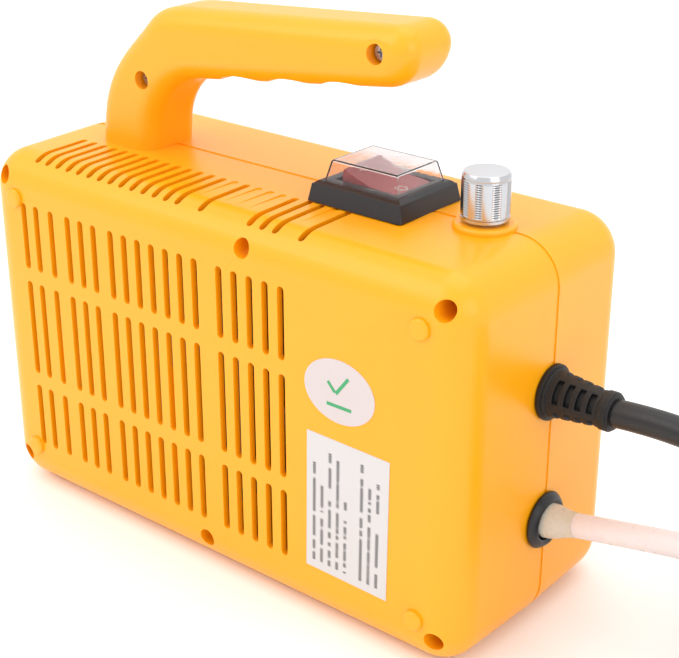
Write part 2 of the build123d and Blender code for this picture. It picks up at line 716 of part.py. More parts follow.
with BuildPart() as heater_feet:
    for foot_x in (HEATER_X - 30.0, HEATER_X + 30.0):
        with BuildSketch(Plane.YZ.offset(foot_x - 5.0)):
            with Locations((0, (FLOOR_Z + HEATER_LOW) / 2)):
                Rectangle(HEATER_W, HEATER_LOW - FLOOR_Z)
                Rectangle(HEATER_W - 4.0, HEATER_LOW - FLOOR_Z - 4.0, mode=Mode.SUBTRACT)
        extrude(amount=10.0)
finish(heater_feet.part, "heater_feet")

# ---------------------------------------------------------------- vibration pump
PUMP_X = 60.0
PISTON_R = 4.0
PISTON_TRAVEL = 4.0

with BuildPart() as pump_body:
    with BuildSketch(Plane.YZ.offset(30.0)):
        with Locations((0, GROMMET_Z)):
            Circle(8.0)
    extrude(amount=68.0)
    with BuildSketch(Plane.YZ.offset(20.0)):
        with Locations((0, GROMMET_Z)):
            Circle(2.98)
    extrude(amount=86.0)
    with BuildSketch(Plane.YZ.offset(40.0)):
        with Locations((0, GROMMET_Z)):
            Circle(PISTON_R + 0.05)
    extrude(amount=50.0, mode=Mode.SUBTRACT)
    with BuildSketch(Plane.YZ.offset(19.0)):
        with Locations((0, GROMMET_Z)):
            Circle(1.5)
    extrude(amount=90.0, mode=Mode.SUBTRACT)
finish(pump_body.part, "pump_body")

with BuildPart() as pump_piston:
    with BuildSketch(Plane.YZ.offset(55.0)):
        with Locations((0, GROMMET_Z)):
            Circle(PISTON_R)
            Circle(1.2, mode=Mode.SUBTRACT)
    extrude(amount=32.0)
finish(pump_piston.part, "pump_piston")

with BuildPart() as pump_spring:
    with BuildLine():
        coil_path = Helix(pitch=2.6, height=13.0, radius=3.0, center=(41.0, 0, GROMMET_Z), direction=(1, 0, 0))
    with BuildSketch(Plane(origin=coil_path @ 0, z_dir=coil_path % 0)):
        Circle(0.4)
    sweep(path=coil_path)
finish(pump_spring.part, "pump_spring")

with BuildPart() as pump_coil:
    with BuildSketch(Plane.YZ.offset(PUMP_X - 13.0)):
        with Locations((0, GROMMET_Z)):
            Circle(15.0)
            Circle(8.05, mode=Mode.SUBTRACT)
    extrude(amount=26.0)
finish(pump_coil.part, "pump_coil")

with BuildPart() as pump_frame:
    with BuildSketch(Plane.XZ.offset(-15.5)):
        with Locations((PUMP_X, GROMMET_Z)):
            Rectangle(34.0, 40.0)
            Rectangle(28.0, 34.0, mode=Mode.SUBTRACT)
    extrude(amount=31.0)
    with Locations((PUMP_X, 0, GROMMET_Z)):
        Cylinder(8.05, 40.0, rotation=(0, 90, 0), mode=Mode.SUBTRACT)
finish(pump_frame.part, "pump_frame")

with BuildPart() as pump_mounts:
    for mount_x in (34.0, 90.0):
        with BuildSketch(Plane.YZ.offset(mount_x - 3.0)):
            with Locations((0, (FLOOR_Z + GROMMET_Z + 10.0) / 2)):
                Rectangle(26.0, GROMMET_Z + 10.0 - FLOOR_Z)
            with Locations((0, GROMMET_Z)):
                Circle(8.05, mode=Mode.SUBTRACT)
        extrude(amount=6.0)
finish(pump_mounts.part, "pump_mounts")


def hose_sleeve(start_x, end_x):
    """Silicone sleeve pushed over two nozzles on the pump's axis."""
    with BuildPart() as sleeve:
        with BuildSketch(Plane.YZ.offset(start_x)):
            with Locations((0, GROMMET_Z)):
                Circle(5.0)
                Circle(3.0, mode=Mode.SUBTRACT)
        extrude(amount=end_x - start_x)
    return sleeve.part


def spring_clamps(positions):
    """Spring clamps round the sleeves, one ring with two ears at each place along the pump's axis."""
    with BuildPart() as clamps:
        for clamp_x in positions:
            with BuildSketch(Plane.YZ.offset(clamp_x - 2.0)):
                with Locations((0, GROMMET_Z)):
                    Circle(5.9)
                with Locations((0, GROMMET_Z + 7.0)):
                    Rectangle(3.0, 5.0)
                with Locations((0, GROMMET_Z)):
                    Circle(5.02, mode=Mode.SUBTRACT)
            extrude(amount=4.0)
    return clamps.part


outlet_sleeve = hose_sleeve(-4.5, 29.5)
finish(outlet_sleeve, "outlet_sleeve")
inlet_sleeve = hose_sleeve(98.5, 112.5)
finish(inlet_sleeve, "inlet_sleeve")
sleeve_clamps = spring_clamps((2.0, 25.0, 102.0, 109.5))
finish(sleeve_clamps, "sleeve_clamps")

with BuildPart() as inlet_fitting:
    with BuildSketch(Plane.YZ.offset(106.2)):
        with Locations((0, GROMMET_Z)):
            Circle(2.98)
    extrude(amount=6.4)
    with BuildSketch(Plane.YZ.offset(112.6)):
        with Locations((0, GROMMET_Z)):
            Circle(6.6)
    extrude(amount=END_X - 112.6)
    with BuildSketch(Plane.YZ.offset(106.0)):
        with Locations((0, GROMMET_Z)):
            Circle(1.6)
    extrude(amount=20.0, mode=Mode.SUBTRACT)
finish(inlet_fitting.part, "inlet_fitting")

# ---------------------------------------------------------------- control board
BOARD_X = 51.0
BOARD_Z = 102.0

with BuildPart() as control_board:
    with BuildSketch(Plane.XZ.offset(-BOARD_Y)):
        with Locations((BOARD_X, BOARD_Z)):
            Rectangle(74.0, 52.0)
        with Locations(*BOARD_POSTS):
            Circle(BOARD_SCREW_R + 0.2, mode=Mode.SUBTRACT)
    extrude(amount=-BOARD_T)
finish(control_board.part, "control_board")

board_screws = self_tapping_screws(BOARD_POSTS, BOARD_Y, 2.6, BOARD_SCREW_R, 7.5)
finish(board_screws, "board_screws")

with BuildPart() as triac_heatsink:
    with BuildSketch(Plane.XY.offset(88.0)):
        with Locations((30.0, BOARD_Y - 8.0)):
            Rectangle(18.0, 16.0)
        with Locations(*[(30.0 + 4.5 * step, BOARD_Y - 11.0) for step in (-1.5, -0.5, 0.5, 1.5)]):
            Rectangle(2.6, 12.0, mode=Mode.SUBTRACT)
    extrude(amount=28.0)
finish(triac_heatsink.part, "triac_heatsink")

with BuildPart() as board_parts:
    with BuildSketch(Plane.XZ.offset(-BOARD_Y)):
        with Locations((48.0, 93.0), (60.0, 93.0)):
            Circle(5.0)
    extrude(amount=13.0)
    with Locations((52.0, BOARD_Y - 4.0, 110.0)):
        Box(16.0, 8.0, 11.0)
    with Locations((74.0, BOARD_Y - 5.0, 116.0)):
        Box(16.0, 10.0, 8.0)
    with Locations((76.0, BOARD_Y - 3.0, 96.0)):
        Box(8.0, 6.0, 14.0)
finish(board_parts.part, "board_parts")


# ---------------------------------------------------------------- cords, hoses and leads
def arc_radii(points):
    """The largest even arc at each corner: 0.45 of the shorter run over the tangent of half the turn."""
    radii = []
    for before, corner, after in zip(points, points[1:], points[2:]):
        run_in = Vector(*corner) - Vector(*before)
        run_out = Vector(*after) - Vector(*corner)
        half_turn = radians(run_in.get_angle(run_out)) / 2
        radii.append(0.45 * min(run_in.length, run_out.length) / tan(half_turn))
    return radii


def round_tube(points, radii, diameter):
    """A plain round tube along straight runs joined by tangent arcs."""
    with BuildPart() as tube:
        with BuildLine() as route:
            FilletPolyline(*points, radius=radii)
        path = route.wire()
        with BuildSketch(Plane(origin=path @ 0, z_dir=path % 0)):
            Circle(diameter / 2)
        sweep(path=path)
    solid_ratio = tube.part.volume / (pi * diameter ** 2 / 4 * path.length)
    print(f"tube {path.length:.1f} mm, volume ratio {solid_ratio:.4f}, radii {[round(r, 1) for r in radii]}")
    return tube.part


def hank(near_x, far_x, middle_y, fold_r, thickness, height):
    """The outer shape of a tied hank that lies on the floor: a long ring with two round folds."""
    with BuildPart() as ring:
        with BuildSketch():
            with Locations(((near_x + far_x) / 2, middle_y)):
                SlotCenterToCenter(far_x - near_x, 2 * fold_r + thickness)
                SlotCenterToCenter(far_x - near_x, 2 * fold_r - thickness, mode=Mode.SUBTRACT)
        extrude(amount=height)
        fillet(ring.faces().filter_by(Axis.Z).edges(), thickness * 0.3)
    return ring.part


def hank_tie(at_x, run_y, thickness, height):
    """A flat tie wrapped round one of a hank's runs."""
    tie_w = 9.0
    with BuildPart() as tie:
        with BuildSketch(Plane.YZ.offset(at_x - tie_w / 2)):
            with Locations((run_y, height / 2 + 1.2)):
                RectangleRounded(thickness + 2.4, height + 2.4, thickness * 0.3 + 1.0)
                RectangleRounded(thickness + 0.2, height + 0.2, thickness * 0.3, mode=Mode.SUBTRACT)
        extrude(amount=tie_w)
    return tie.part


def free_tube(name, points, diameter):
    """Build, report and write one uncoiled stretch of a cord or hose."""
    finish(round_tube(points, arc_radii(points), diameter), name)


# Mains cord: straight out of the relief, down in a long S onto its hank, and inside it to the plug
CORD_ROUTE = [
    (146.0, 0.0, RELIEF_Z),
    (175.0, 0.0, 98.3),
    (205.0, -5.0, 91.5),
    (231.0, -17.0, 75.5),
    (256.0, -31.5, 58.0),
    (280.0, -42.0, 46.5),
    (303.0, -45.0, 41.0),
]
CORD_HANK_NEAR_X = 232.0
CORD_HANK_FAR_X = 333.0
CORD_HANK_Y = -15.0
CORD_FOLD_R = 30.0
CORD_HANK_H = 4 * CORD_D
CORD_TIE_X = 282.0
CORD_TAIL_ROUTE = [
    (249.0, -39.5, 5.4),
    (258.0, -28.8, 7.4),
    (267.7, -21.7, 9.4),
    (279.0, -17.6, 11.4),
    (291.0, -16.6, 12.4),
    (296.0, -16.6, 12.5),
]
PLUG_AT = CORD_TAIL_ROUTE[-1]
PLUG_L = 36.0

free_tube("power_cord", CORD_ROUTE, CORD_D)
finish(
    hank(CORD_HANK_NEAR_X, CORD_HANK_FAR_X, CORD_HANK_Y, CORD_FOLD_R, CORD_D, CORD_HANK_H),
    "power_cord_coil",
)
finish(hank_tie(CORD_TIE_X, CORD_HANK_Y + CORD_FOLD_R, CORD_D, CORD_HANK_H), "cord_tie")
free_tube("power_cord_tail", CORD_TAIL_ROUTE, CORD_D)

with BuildPart() as power_plug:
    with BuildSketch(Plane.YZ.offset(PLUG_AT[0])):
        with Locations(PLUG_AT[1:]):
            Circle(6.4)
    with BuildSketch(Plane.YZ.offset(PLUG_AT[0] + 16.0)):
        with Locations(PLUG_AT[1:]):
            Circle(8.4)
    loft()
    with BuildSketch(Plane.YZ.offset(PLUG_AT[0] + 14.0)):
        with Locations(PLUG_AT[1:]):
            RectangleRounded(26.0, 24.6, 8.0)
    extrude(amount=PLUG_L - 14.0)
    fillet(power_plug.faces().sort_by(Axis.X)[-1].edges(), 1.5)
finish(power_plug.part, "power_plug")

PLUG_FACE_X = PLUG_AT[0] + PLUG_L
with BuildPart() as plug_blades:
    with BuildSketch(Plane.YZ.offset(PLUG_FACE_X)):
        with Locations((PLUG_AT[1] - 6.35, PLUG_AT[2] - 4.0), (PLUG_AT[1] + 6.35, PLUG_AT[2] - 4.0)):
            Rectangle(1.5, 6.3)
    extrude(amount=17.0)
    with BuildSketch(Plane.YZ.offset(PLUG_FACE_X)):
        with Locations((PLUG_AT[1], PLUG_AT[2] + 7.4)):
            Circle(2.4)
    extrude(amount=19.0)
finish(plug_blades.part, "plug_blades")

# Suction hose: a flared cuff over the inlet, up a little, then down onto its own hank
HOSE_LEAN = 11.0
HOSE_DIR = (cos(radians(HOSE_LEAN)), 0, sin(radians(HOSE_LEAN)))
CUFF_AT = (END_X + 1.6, 0, GROMMET_Z + 0.3)
CUFF_L = 13.0
CUFF_END = tuple(start + CUFF_L * along for start, along in zip(CUFF_AT, HOSE_DIR))
with BuildPart() as hose_cuff:
    with BuildSketch(Plane(origin=CUFF_AT, x_dir=HOSE_DIR, z_dir=(0, -1, 0))):
        with BuildLine():
            flare = Spline((0, 6.5), (4.5, 6.3), (9.0, 4.9), (CUFF_L, 4.5), tangents=[(1, 0), (1, 0)])
            Polyline(flare @ 1, (CUFF_L, 0), (0, 0), flare @ 0)
        make_face()
    revolve(axis=Axis(CUFF_AT, HOSE_DIR))
finish(hose_cuff.part, "hose_cuff")

HOSE_ROUTE = [
    CUFF_END,
    (153.5, 0.0, 51.2),
    (176.0, 0.8, 55.0),
    (203.0, 6.5, 53.5),
    (230.0, 17.0, 47.5),
    (257.0, 25.0, 41.5),
    (284.0, 27.0, 38.0),
]
HOSE_HANK_NEAR_X = 200.0
HOSE_HANK_FAR_X = 320.0
HOSE_HANK_Y = 54.0
HOSE_FOLD_R = 27.0
HOSE_HANK_H = 4 * HOSE_D
HOSE_TIE_X = 255.0
HOSE_TAIL_ROUTE = [
    (214.0, 29.8, 4.7),
    (222.5, 38.3, 5.4),
    (232.0, 43.8, 6.6),
    (242.6, 46.6, 8.1),
    (256.0, 46.6, 9.0),
]
STRAINER_AT = HOSE_TAIL_ROUTE[-1]

free_tube("suction_hose", HOSE_ROUTE, HOSE_D)
finish(
    hank(HOSE_HANK_NEAR_X, HOSE_HANK_FAR_X, HOSE_HANK_Y, HOSE_FOLD_R, HOSE_D, HOSE_HANK_H),
    "suction_hose_coil",
)
finish(hank_tie(HOSE_TIE_X, HOSE_HANK_Y + HOSE_FOLD_R, HOSE_D, HOSE_HANK_H), "hose_tie")
free_tube("suction_hose_tail", HOSE_TAIL_ROUTE, HOSE_D)

with BuildPart() as strainer:
    with BuildSketch(Plane.YZ.offset(STRAINER_AT[0])):
        with Locations(STRAINER_AT[1:]):
            Circle(5.6)
    extrude(amount=8.0)
    with BuildSketch(Plane.YZ.offset(STRAINER_AT[0] + 8.0)):
        with Locations(STRAINER_AT[1:]):
            Circle(8.9)
    extrude(amount=24.0)
    fillet(strainer.edges().filter_by(GeomType.CIRCLE).group_by(Axis.X)[-1], 1.5)
    with BuildSketch(Plane.YZ.offset(STRAINER_AT[0] + 14.0)):
        with Locations(STRAINER_AT[1:]):
            Circle(7.4)
    extrude(amount=18.0, mode=Mode.SUBTRACT)
    with BuildSketch(Plane.XY.offset(STRAINER_AT[2] - 12.0)):
        for slot in range(3):
            with Locations((STRAINER_AT[0] + 16.5 + 4.6 * slot, STRAINER_AT[1])):
                SlotOverall(11.0, 2.2, rotation=90)
    extrude(amount=24.0, mode=Mode.SUBTRACT)
finish(strainer.part, "strainer")


# Leads inside the housing
def leads(name, routes, diameter, bend_r):
    """Insulated leads, one solid for each route, bent at an even radius."""
    with BuildPart() as group:
        for route in routes:
            with BuildLine(mode=Mode.PRIVATE) as line:
                FilletPolyline(*route, radius=bend_r)
            path = line.wire()
            with BuildSketch(Plane(origin=path @ 0, z_dir=path % 0)):
                Circle(diameter / 2)
            sweep(path=path)
    finish(group.part, name)


RELIEF_IN_X = END_X - 9.0
TERMINAL_LOW_Z = 111.0
leads(
    "mains_leads",
    [
        [(RELIEF_IN_X, -3.0, 97.0), (84.0, -5.5, 99.0), (54.3, -5.5, 97.0), (54.3, -5.5, TERMINAL_LOW_Z)],
        [(RELIEF_IN_X, 3.0, 97.0), (80.0, 5.5, 95.0), (46.3, 5.5, 93.0), (46.3, 5.5, TERMINAL_LOW_Z)],
        [(RELIEF_IN_X, 0.0, 92.0), (84.0, -14.0, 88.0), (20.0, -17.0, 82.0), (HEATER_END, -17.0, 76.0)],
    ],
    2.6, 7.0,
)
leads(
    "heater_leads",
    [
        [(38.3, 5.5, TERMINAL_LOW_Z), (38.3, 5.5, 84.0), (28.0, 12.0, 71.0), (HEATER_END + 14.5, 12.0, 71.0)],
        [(38.3, -5.5, TERMINAL_LOW_Z), (38.3, -5.5, 84.0), (28.0, -12.0, 71.0), (HEATER_END + 14.5, -12.0, 71.0)],
    ],
    2.6, 6.0,
)

# ---------------------------------------------------------------- labels
LABEL_T = 0.25
with BuildPart() as oval_sticker:
    with BuildSketch(Plane.XZ.offset(HALF_D)):
        with Locations((66.8, 97.2)):
            Ellipse(15.6, 12.0)
    extrude(amount=LABEL_T)
finish(oval_sticker.part, "oval_sticker")

with BuildPart() as rating_label:
    with BuildSketch(Plane.XZ.offset(HALF_D)):
        with Locations((70.2, 50.0)):
            Rectangle(37.0, 55.8, rotation=-0.9)
    extrude(amount=LABEL_T)
finish(rating_label.part, "rating_label")
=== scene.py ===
"""A portable steam cleaner: finished pieces around its CAD nodes, in a white studio. Metres, +Z up."""

import logging
from dataclasses import dataclass
from enum import Enum
from math import atan2, cos, degrees, hypot, pi, radians, sin
from typing import Callable, Iterable, Sequence

import bpy
from mathutils import Matrix, Vector


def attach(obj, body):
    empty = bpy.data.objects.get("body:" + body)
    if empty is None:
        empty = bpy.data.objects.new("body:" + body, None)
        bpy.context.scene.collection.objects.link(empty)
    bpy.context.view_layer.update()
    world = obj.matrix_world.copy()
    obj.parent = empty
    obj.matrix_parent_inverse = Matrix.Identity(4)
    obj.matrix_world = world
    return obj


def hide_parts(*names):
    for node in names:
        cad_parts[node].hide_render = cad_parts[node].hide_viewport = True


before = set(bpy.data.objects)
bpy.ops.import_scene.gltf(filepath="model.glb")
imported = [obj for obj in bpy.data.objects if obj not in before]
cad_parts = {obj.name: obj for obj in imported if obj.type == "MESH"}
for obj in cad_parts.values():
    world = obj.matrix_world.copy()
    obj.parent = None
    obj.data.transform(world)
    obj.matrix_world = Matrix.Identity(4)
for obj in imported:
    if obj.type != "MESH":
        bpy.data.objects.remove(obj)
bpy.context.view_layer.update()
LOG = logging.getLogger("steam_cleaner")
MM = 0.001

Point = tuple[float, float, float]
Ring = tuple[float, float]
Piece = bpy.types.Object
Tree = bpy.types.NodeTree


# ---------------------------------------------------------------- finishes
def linear(hex_colour: str) -> tuple[float, float, float, float]:
    """Turn an sRGB hex colour into linear RGBA.

    Args:
        hex_colour: six hex digits after a hash sign.

    Returns:
        Red, green, blue and an alpha of 1.
    """
    channels = [int(hex_colour[at:at + 2], 16) / 255 for at in (1, 3, 5)]
    red, green, blue = (c / 12.92 if c <= 0.04045 else ((c + 0.055) / 1.055) ** 2.4 for c in channels)
    return red, green, blue, 1.0


def add_node(
    tree: Tree, kind: str, settings: dict | None = None, sockets: dict | None = None
) -> bpy.types.Node:
    """Add one node with its settings, and fill its inputs with values or links.

    Args:
        tree: the node tree to add to.
        kind: the node's type name.
        settings: attributes to set on the node.
        sockets: input name or index to a value, or to an output socket that feeds it.

    Returns:
        The new node.
    """
    node = tree.nodes.new(kind)
    for name, value in (settings or {}).items():
        setattr(node, name, value)
    for name, value in (sockets or {}).items():
        if isinstance(value, bpy.types.NodeSocket):
            tree.links.new(value, node.inputs[name])
        else:
            node.inputs[name].default_value = value
    return node


@dataclass(frozen=True)
class Finish:
    """A surface: its colour, gloss, and the fine texture that its making leaves on it."""

    name: str
    colour: str
    shade: str
    roughness: float
    metallic: float = 0.0
    coat: float = 0.0
    transmission: float = 0.0
    subsurface: float = 0.0
    ior: float = 1.5
    grain_mm: float = 0.6
    grain_depth: float = 0.05
    gloss_spread: float = 0.06
    stretch: Point = (1.0, 1.0, 1.0)
    drift_scale: float = 35.0
    coat_roughness: float = 0.12
    glow_depth: float = 0.002
    glow_colour: Point = (1.0, 0.6, 0.3)

    def coordinates(self, tree: Tree) -> bpy.types.NodeSocket:
        """Return the piece's own object coordinates, stretched along the way it was worked."""
        where = add_node(tree, "ShaderNodeTexCoord")
        worked = {"Vector": where.outputs["Object"], "Scale": self.stretch}
        return add_node(tree, "ShaderNodeMapping", None, worked).outputs["Vector"]

    def colour_of(self, tree: Tree, coordinates: bpy.types.NodeSocket) -> bpy.types.NodeSocket:
        """Return a colour that drifts slowly between the finish's two tones."""
        drift = add_node(
            tree, "ShaderNodeTexNoise", None,
            {"Vector": coordinates, "Scale": self.drift_scale, "Detail": 2.0},
        )
        mixed = add_node(
            tree, "ShaderNodeMix", {"data_type": "RGBA"},
            {"Factor": drift.outputs["Fac"], 6: linear(self.colour), 7: linear(self.shade)},
        )
        return mixed.outputs[2]

    def build(self) -> bpy.types.Material:
        """Build the material once and return it each time after that."""
        found = bpy.data.materials.get(self.name)
        if found:
            return found
        material = bpy.data.materials.new(self.name)
        material.use_nodes = True
        tree = material.node_tree
        tree.nodes.clear()
        coordinates = self.coordinates(tree)
        grain = add_node(
            tree, "ShaderNodeTexNoise", None,
            {"Vector": coordinates, "Scale": 1.0 / (self.grain_mm * MM), "Detail": 3.0, "Roughness": 0.6},
        )
        gloss = add_node(
            tree, "ShaderNodeMapRange", None,
            {
                "Value": grain.outputs["Fac"], "From Min": 0.25, "From Max": 0.75,
                "To Min": self.roughness - self.gloss_spread, "To Max": self.roughness + self.gloss_spread,
            },
        )
        bump = add_node(
            tree, "ShaderNodeBump", None,
            {"Height": grain.outputs["Fac"], "Strength": self.grain_depth, "Distance": self.grain_mm * MM},
        )
        surface = add_node(
            tree, "ShaderNodeBsdfPrincipled", None,
            {
                "Base Color": self.colour_of(tree, coordinates), "Roughness": gloss.outputs["Result"],
                "Metallic": self.metallic, "IOR": self.ior, "Normal": bump.outputs["Normal"],
                "Coat Weight": self.coat, "Coat Roughness": self.coat_roughness,
                "Transmission Weight": self.transmission,
                "Subsurface Weight": self.subsurface, "Subsurface Scale": self.glow_depth,
                "Subsurface Radius": self.glow_colour,
            },
        )
        add_node(tree, "ShaderNodeOutputMaterial", None, {"Surface": surface.outputs["BSDF"]})
        return material


@dataclass(frozen=True)
class PrintedFilm(Finish):
    """White label film with rows of short dark printed dashes that run up the label."""

    ink: str = "#1C1D20"
    centre: Point = (0.0702, 0.0, 0.050)
    turn_deg: float = -0.9
    first_row_mm: float = -14.9
    row_pitch_mm: float = 3.6
    row_fill: float = 0.4
    last_row: int = 8
    blank_row: int = 5
    foot_mm: float = -24.5
    longest_mm: float = 49.0
    shortest: float = 0.6
    word_mm: float = 2.6
    stroke_mm: float = 0.85
    stroke_fill: float = 0.66
    gap_level: float = 0.4
    row_shift: float = 7.3

    def colour_of(self, tree: Tree, coordinates: bpy.types.NodeSocket) -> bpy.types.NodeSocket:
        """Return white film with the printed rows on it, each row ending at its own length."""

        def work(operation: str, first: object, second: object = 0.0) -> bpy.types.NodeSocket:
            """Work out one sum in the node tree."""
            settings = {"operation": operation}
            return add_node(tree, "ShaderNodeMath", settings, {0: first, 1: second}).outputs[0]

        placed = add_node(
            tree, "ShaderNodeMapping", {"vector_type": "TEXTURE"},
            {"Vector": coordinates, "Location": self.centre, "Rotation": (0.0, -radians(self.turn_deg), 0.0)},
        )
        split = add_node(tree, "ShaderNodeSeparateXYZ", None, {"Vector": placed.outputs["Vector"]})
        edge = (self.first_row_mm - self.row_pitch_mm * self.row_fill / 2) * MM
        row = work("DIVIDE", work("SUBTRACT", split.outputs["X"], edge), self.row_pitch_mm * MM)
        row_number = work("FLOOR", row)
        along = work("SUBTRACT", split.outputs["Z"], self.foot_mm * MM)
        chance = add_node(tree, "ShaderNodeTexWhiteNoise", {"noise_dimensions": "1D"}, {"W": row_number})
        spread = work("MULTIPLY_ADD", chance.outputs["Value"], 1.0 - self.shortest)
        spread.node.inputs[2].default_value = self.shortest
        place = add_node(
            tree, "ShaderNodeCombineXYZ", None,
            {
                "X": work("MULTIPLY", row_number, self.row_shift),
                "Y": work("DIVIDE", along, self.word_mm * MM),
            },
        )
        words = add_node(
            tree, "ShaderNodeTexNoise", {"noise_dimensions": "2D"},
            {"Vector": place.outputs["Vector"], "Scale": 1.0, "Detail": 0.0},
        )
        from_blank = work("ABSOLUTE", work("SUBTRACT", row_number, self.blank_row))
        tests = (
            work("LESS_THAN", work("FRACT", row), self.row_fill),
            work("GREATER_THAN", row_number, -0.5),
            work("LESS_THAN", row_number, self.last_row + 0.5),
            work("GREATER_THAN", from_blank, 0.5),
            work("GREATER_THAN", along, 0.0),
            work("LESS_THAN", along, work("MULTIPLY", spread, self.longest_mm * MM)),
            work("GREATER_THAN", words.outputs["Fac"], self.gap_level),
            work("LESS_THAN", work("FRACT", work("DIVIDE", along, self.stroke_mm * MM)), self.stroke_fill),
        )
        printed = tests[0]
        for test in tests[1:]:
            printed = work("MULTIPLY", printed, test)
        mixed = add_node(
            tree, "ShaderNodeMix", {"data_type": "RGBA"},
            {"Factor": printed, 6: linear(self.colour), 7: linear(self.ink)},
        )
        return mixed.outputs[2]


# Injection-moulded ABS with a bright polish: full colour, a clear soft highlight
HOUSING_ABS = Finish(
    "moulded_gloss_abs", "#FFA90C", "#FDA608", 0.33, subsurface=0.12, grain_mm=0.9, grain_depth=0.03
)
# Moulded black ABS with a light satin: grey highlights along its soft edges
BEZEL_ABS = Finish("moulded_satin_abs", "#17171A", "#1E1D1F", 0.36, grain_mm=0.5, grain_depth=0.08)
# Pressed clear PVC: almost colourless, with bright rims where light gathers
COVER_PVC = Finish(
    "pressed_clear_pvc", "#F7F1F0", "#F4ECEB", 0.06, transmission=1.0, ior=1.45, grain_mm=6.0,
    grain_depth=0.02, gloss_spread=0.03,
)
# Moulded polycarbonate, tinted red right through and highly polished: deep colour, sharp glints
ROCKER_RED = Finish(
    "moulded_red_polycarbonate", "#B8070F", "#A9050C", 0.18, coat=0.4, subsurface=0.1, grain_mm=1.5,
    grain_depth=0.02,
)
# Pad-printed white ink: flat and even, with no shine of its own
MARK_WHITE = Finish("pad_printed_ink", "#F4F2EF", "#EDEBE8", 0.45)
# Turned and clear-anodised aluminium: bright, with a fine trace of the tool round it
TURNED_ALUMINIUM = Finish(
    "turned_anodised_aluminium", "#C9CACD", "#B9BABD", 0.2, metallic=1.0, grain_mm=0.35, grain_depth=0.04,
    gloss_spread=0.05, stretch=(0.15, 0.15, 1.0),
)
# Aluminium for the ribs' downward-facing groove walls: darker grey and dull, a painted shade standing in for
# the shade in the fine grooves
GROOVE_SHADE_ALUMINIUM = Finish("painted_groove_shade_aluminium", "#5E5F63", "#545559", 0.4, metallic=1.0, grain_mm=0.3)
# Sanded and anodised aluminium: pale and matt
MATT_ALUMINIUM = Finish(
    "sanded_aluminium", "#CFD0D3", "#C8C9CC", 0.5, metallic=0.75, grain_mm=0.4, grain_depth=0.1
)
# Aluminium as cast: grey, with a rough skin that scatters the light
CAST_ALUMINIUM = Finish(
    "cast_raw_aluminium", "#A9AAAC", "#98999B", 0.5, metallic=1.0, grain_mm=1.2, grain_depth=0.3
)
# Steel with bright zinc plating: a cool grey with soft reflections
ZINC_STEEL = Finish(
    "zinc_plated_steel", "#B9BBBE", "#A8AAAC", 0.32, metallic=1.0, grain_mm=0.4, grain_depth=0.08
)
# Brass straight from the lathe: warm yellow, with streaks round its axis
MACHINED_BRASS = Finish(
    "machined_brass", "#D9B36A", "#CDA55A", 0.24, metallic=1.0, grain_mm=0.4, grain_depth=0.06,
    stretch=(1.0, 0.2, 0.2),
)
# Enamelled copper wire in close turns: brown-red, with a fine ripple of highlights
COPPER_WINDING = Finish(
    "wound_copper_wire", "#B0603A", "#8F4526", 0.3, metallic=0.8, grain_mm=0.3, grain_depth=0.4,
    stretch=(1.0, 0.1, 0.1),
)
# Moulded rubber with a spark-eroded texture: dark grey where light grazes it
TEXTURED_RUBBER = Finish(
    "spark_textured_rubber", "#0E0D0D", "#191716", 0.48, ior=1.42, grain_mm=0.5, grain_depth=0.45,
    gloss_spread=0.1,
)
# Rubber from a plain mould: black, with a low broad sheen
SMOOTH_RUBBER = Finish("moulded_rubber", "#100F12", "#17161A", 0.4, grain_mm=0.8, grain_depth=0.08)
# Extruded PVC sheath: satin, with faint lines
CORD_PVC = Finish("extruded_black_pvc", "#0E0E0F", "#161516", 0.36, grain_mm=0.7, grain_depth=0.12)
# Extruded silicone: milky, light passes a little way in and comes back pinkish
SILICONE_HOSE = Finish(
    "extruded_silicone", "#EBDEDB", "#E6D7D4", 0.3, subsurface=0.3, ior=1.41, grain_mm=2.5, grain_depth=0.04
)
# Silicone stretched over a fitting: thinner and greyer
STRETCHED_SILICONE = Finish("stretched_silicone", "#D6CEBF", "#CCC3B2", 0.28, subsurface=0.25, grain_mm=2.0)
# Extruded silicone sleeve: chalky and soft
SLEEVE_SILICONE = Finish("extruded_sleeve_silicone", "#DAD7CE", "#CFCBC0", 0.45, subsurface=0.2)
# Moulded black nylon: charcoal, with a dull sheen
TIE_NYLON = Finish("moulded_black_nylon", "#1D1D1F", "#252527", 0.45, grain_mm=0.5, grain_depth=0.1)
# Moulded grey nylon: plain and nearly matt
GREY_NYLON = Finish("moulded_grey_nylon", "#74777C", "#6A6D72", 0.5, grain_mm=0.6, grain_depth=0.1)
# Glass-fibre board under green solder lacquer: glassy over an even green
CIRCUIT_BOARD = Finish(
    "lacquered_circuit_board", "#1E6B38", "#175A2E", 0.3, coat=0.3, grain_mm=1.5, grain_depth=0.1
)
# Extruded PVC insulation: brick red and satin
LEAD_PVC = Finish("extruded_lead_pvc", "#8A3A22", "#7B331E", 0.4)
# Printed polyester film: off-white, with small dark dashes that only hint at words
LABEL_FILM = PrintedFilm("printed_label_film", "#CFCBCA", "#CBC6C5", 0.4, grain_mm=2.0, grain_depth=0.02)
# Coated paper film: off-white with a little warmth
STICKER_FILM = Finish("matt_sticker_film", "#D1C5C3", "#CDC1BF", 0.42, grain_mm=2.0, grain_depth=0.02)
# Screen-printed ink: a flat mid green
STICKER_INK = Finish("screen_printed_ink", "#3FA46A", "#379A60", 0.35)
# Seamless paper: white, and matt enough to hold only a soft shadow
FLOOR_PAPER = Finish("seamless_paper", "#FEFEFE", "#FDFDFD", 0.8, grain_mm=4.0, grain_depth=0.02)


# ---------------------------------------------------------------- bench tools
class Along(Enum):
    """The way that a turned piece's axis points."""

    UP = "z"
    ALONG_BODY = "x"


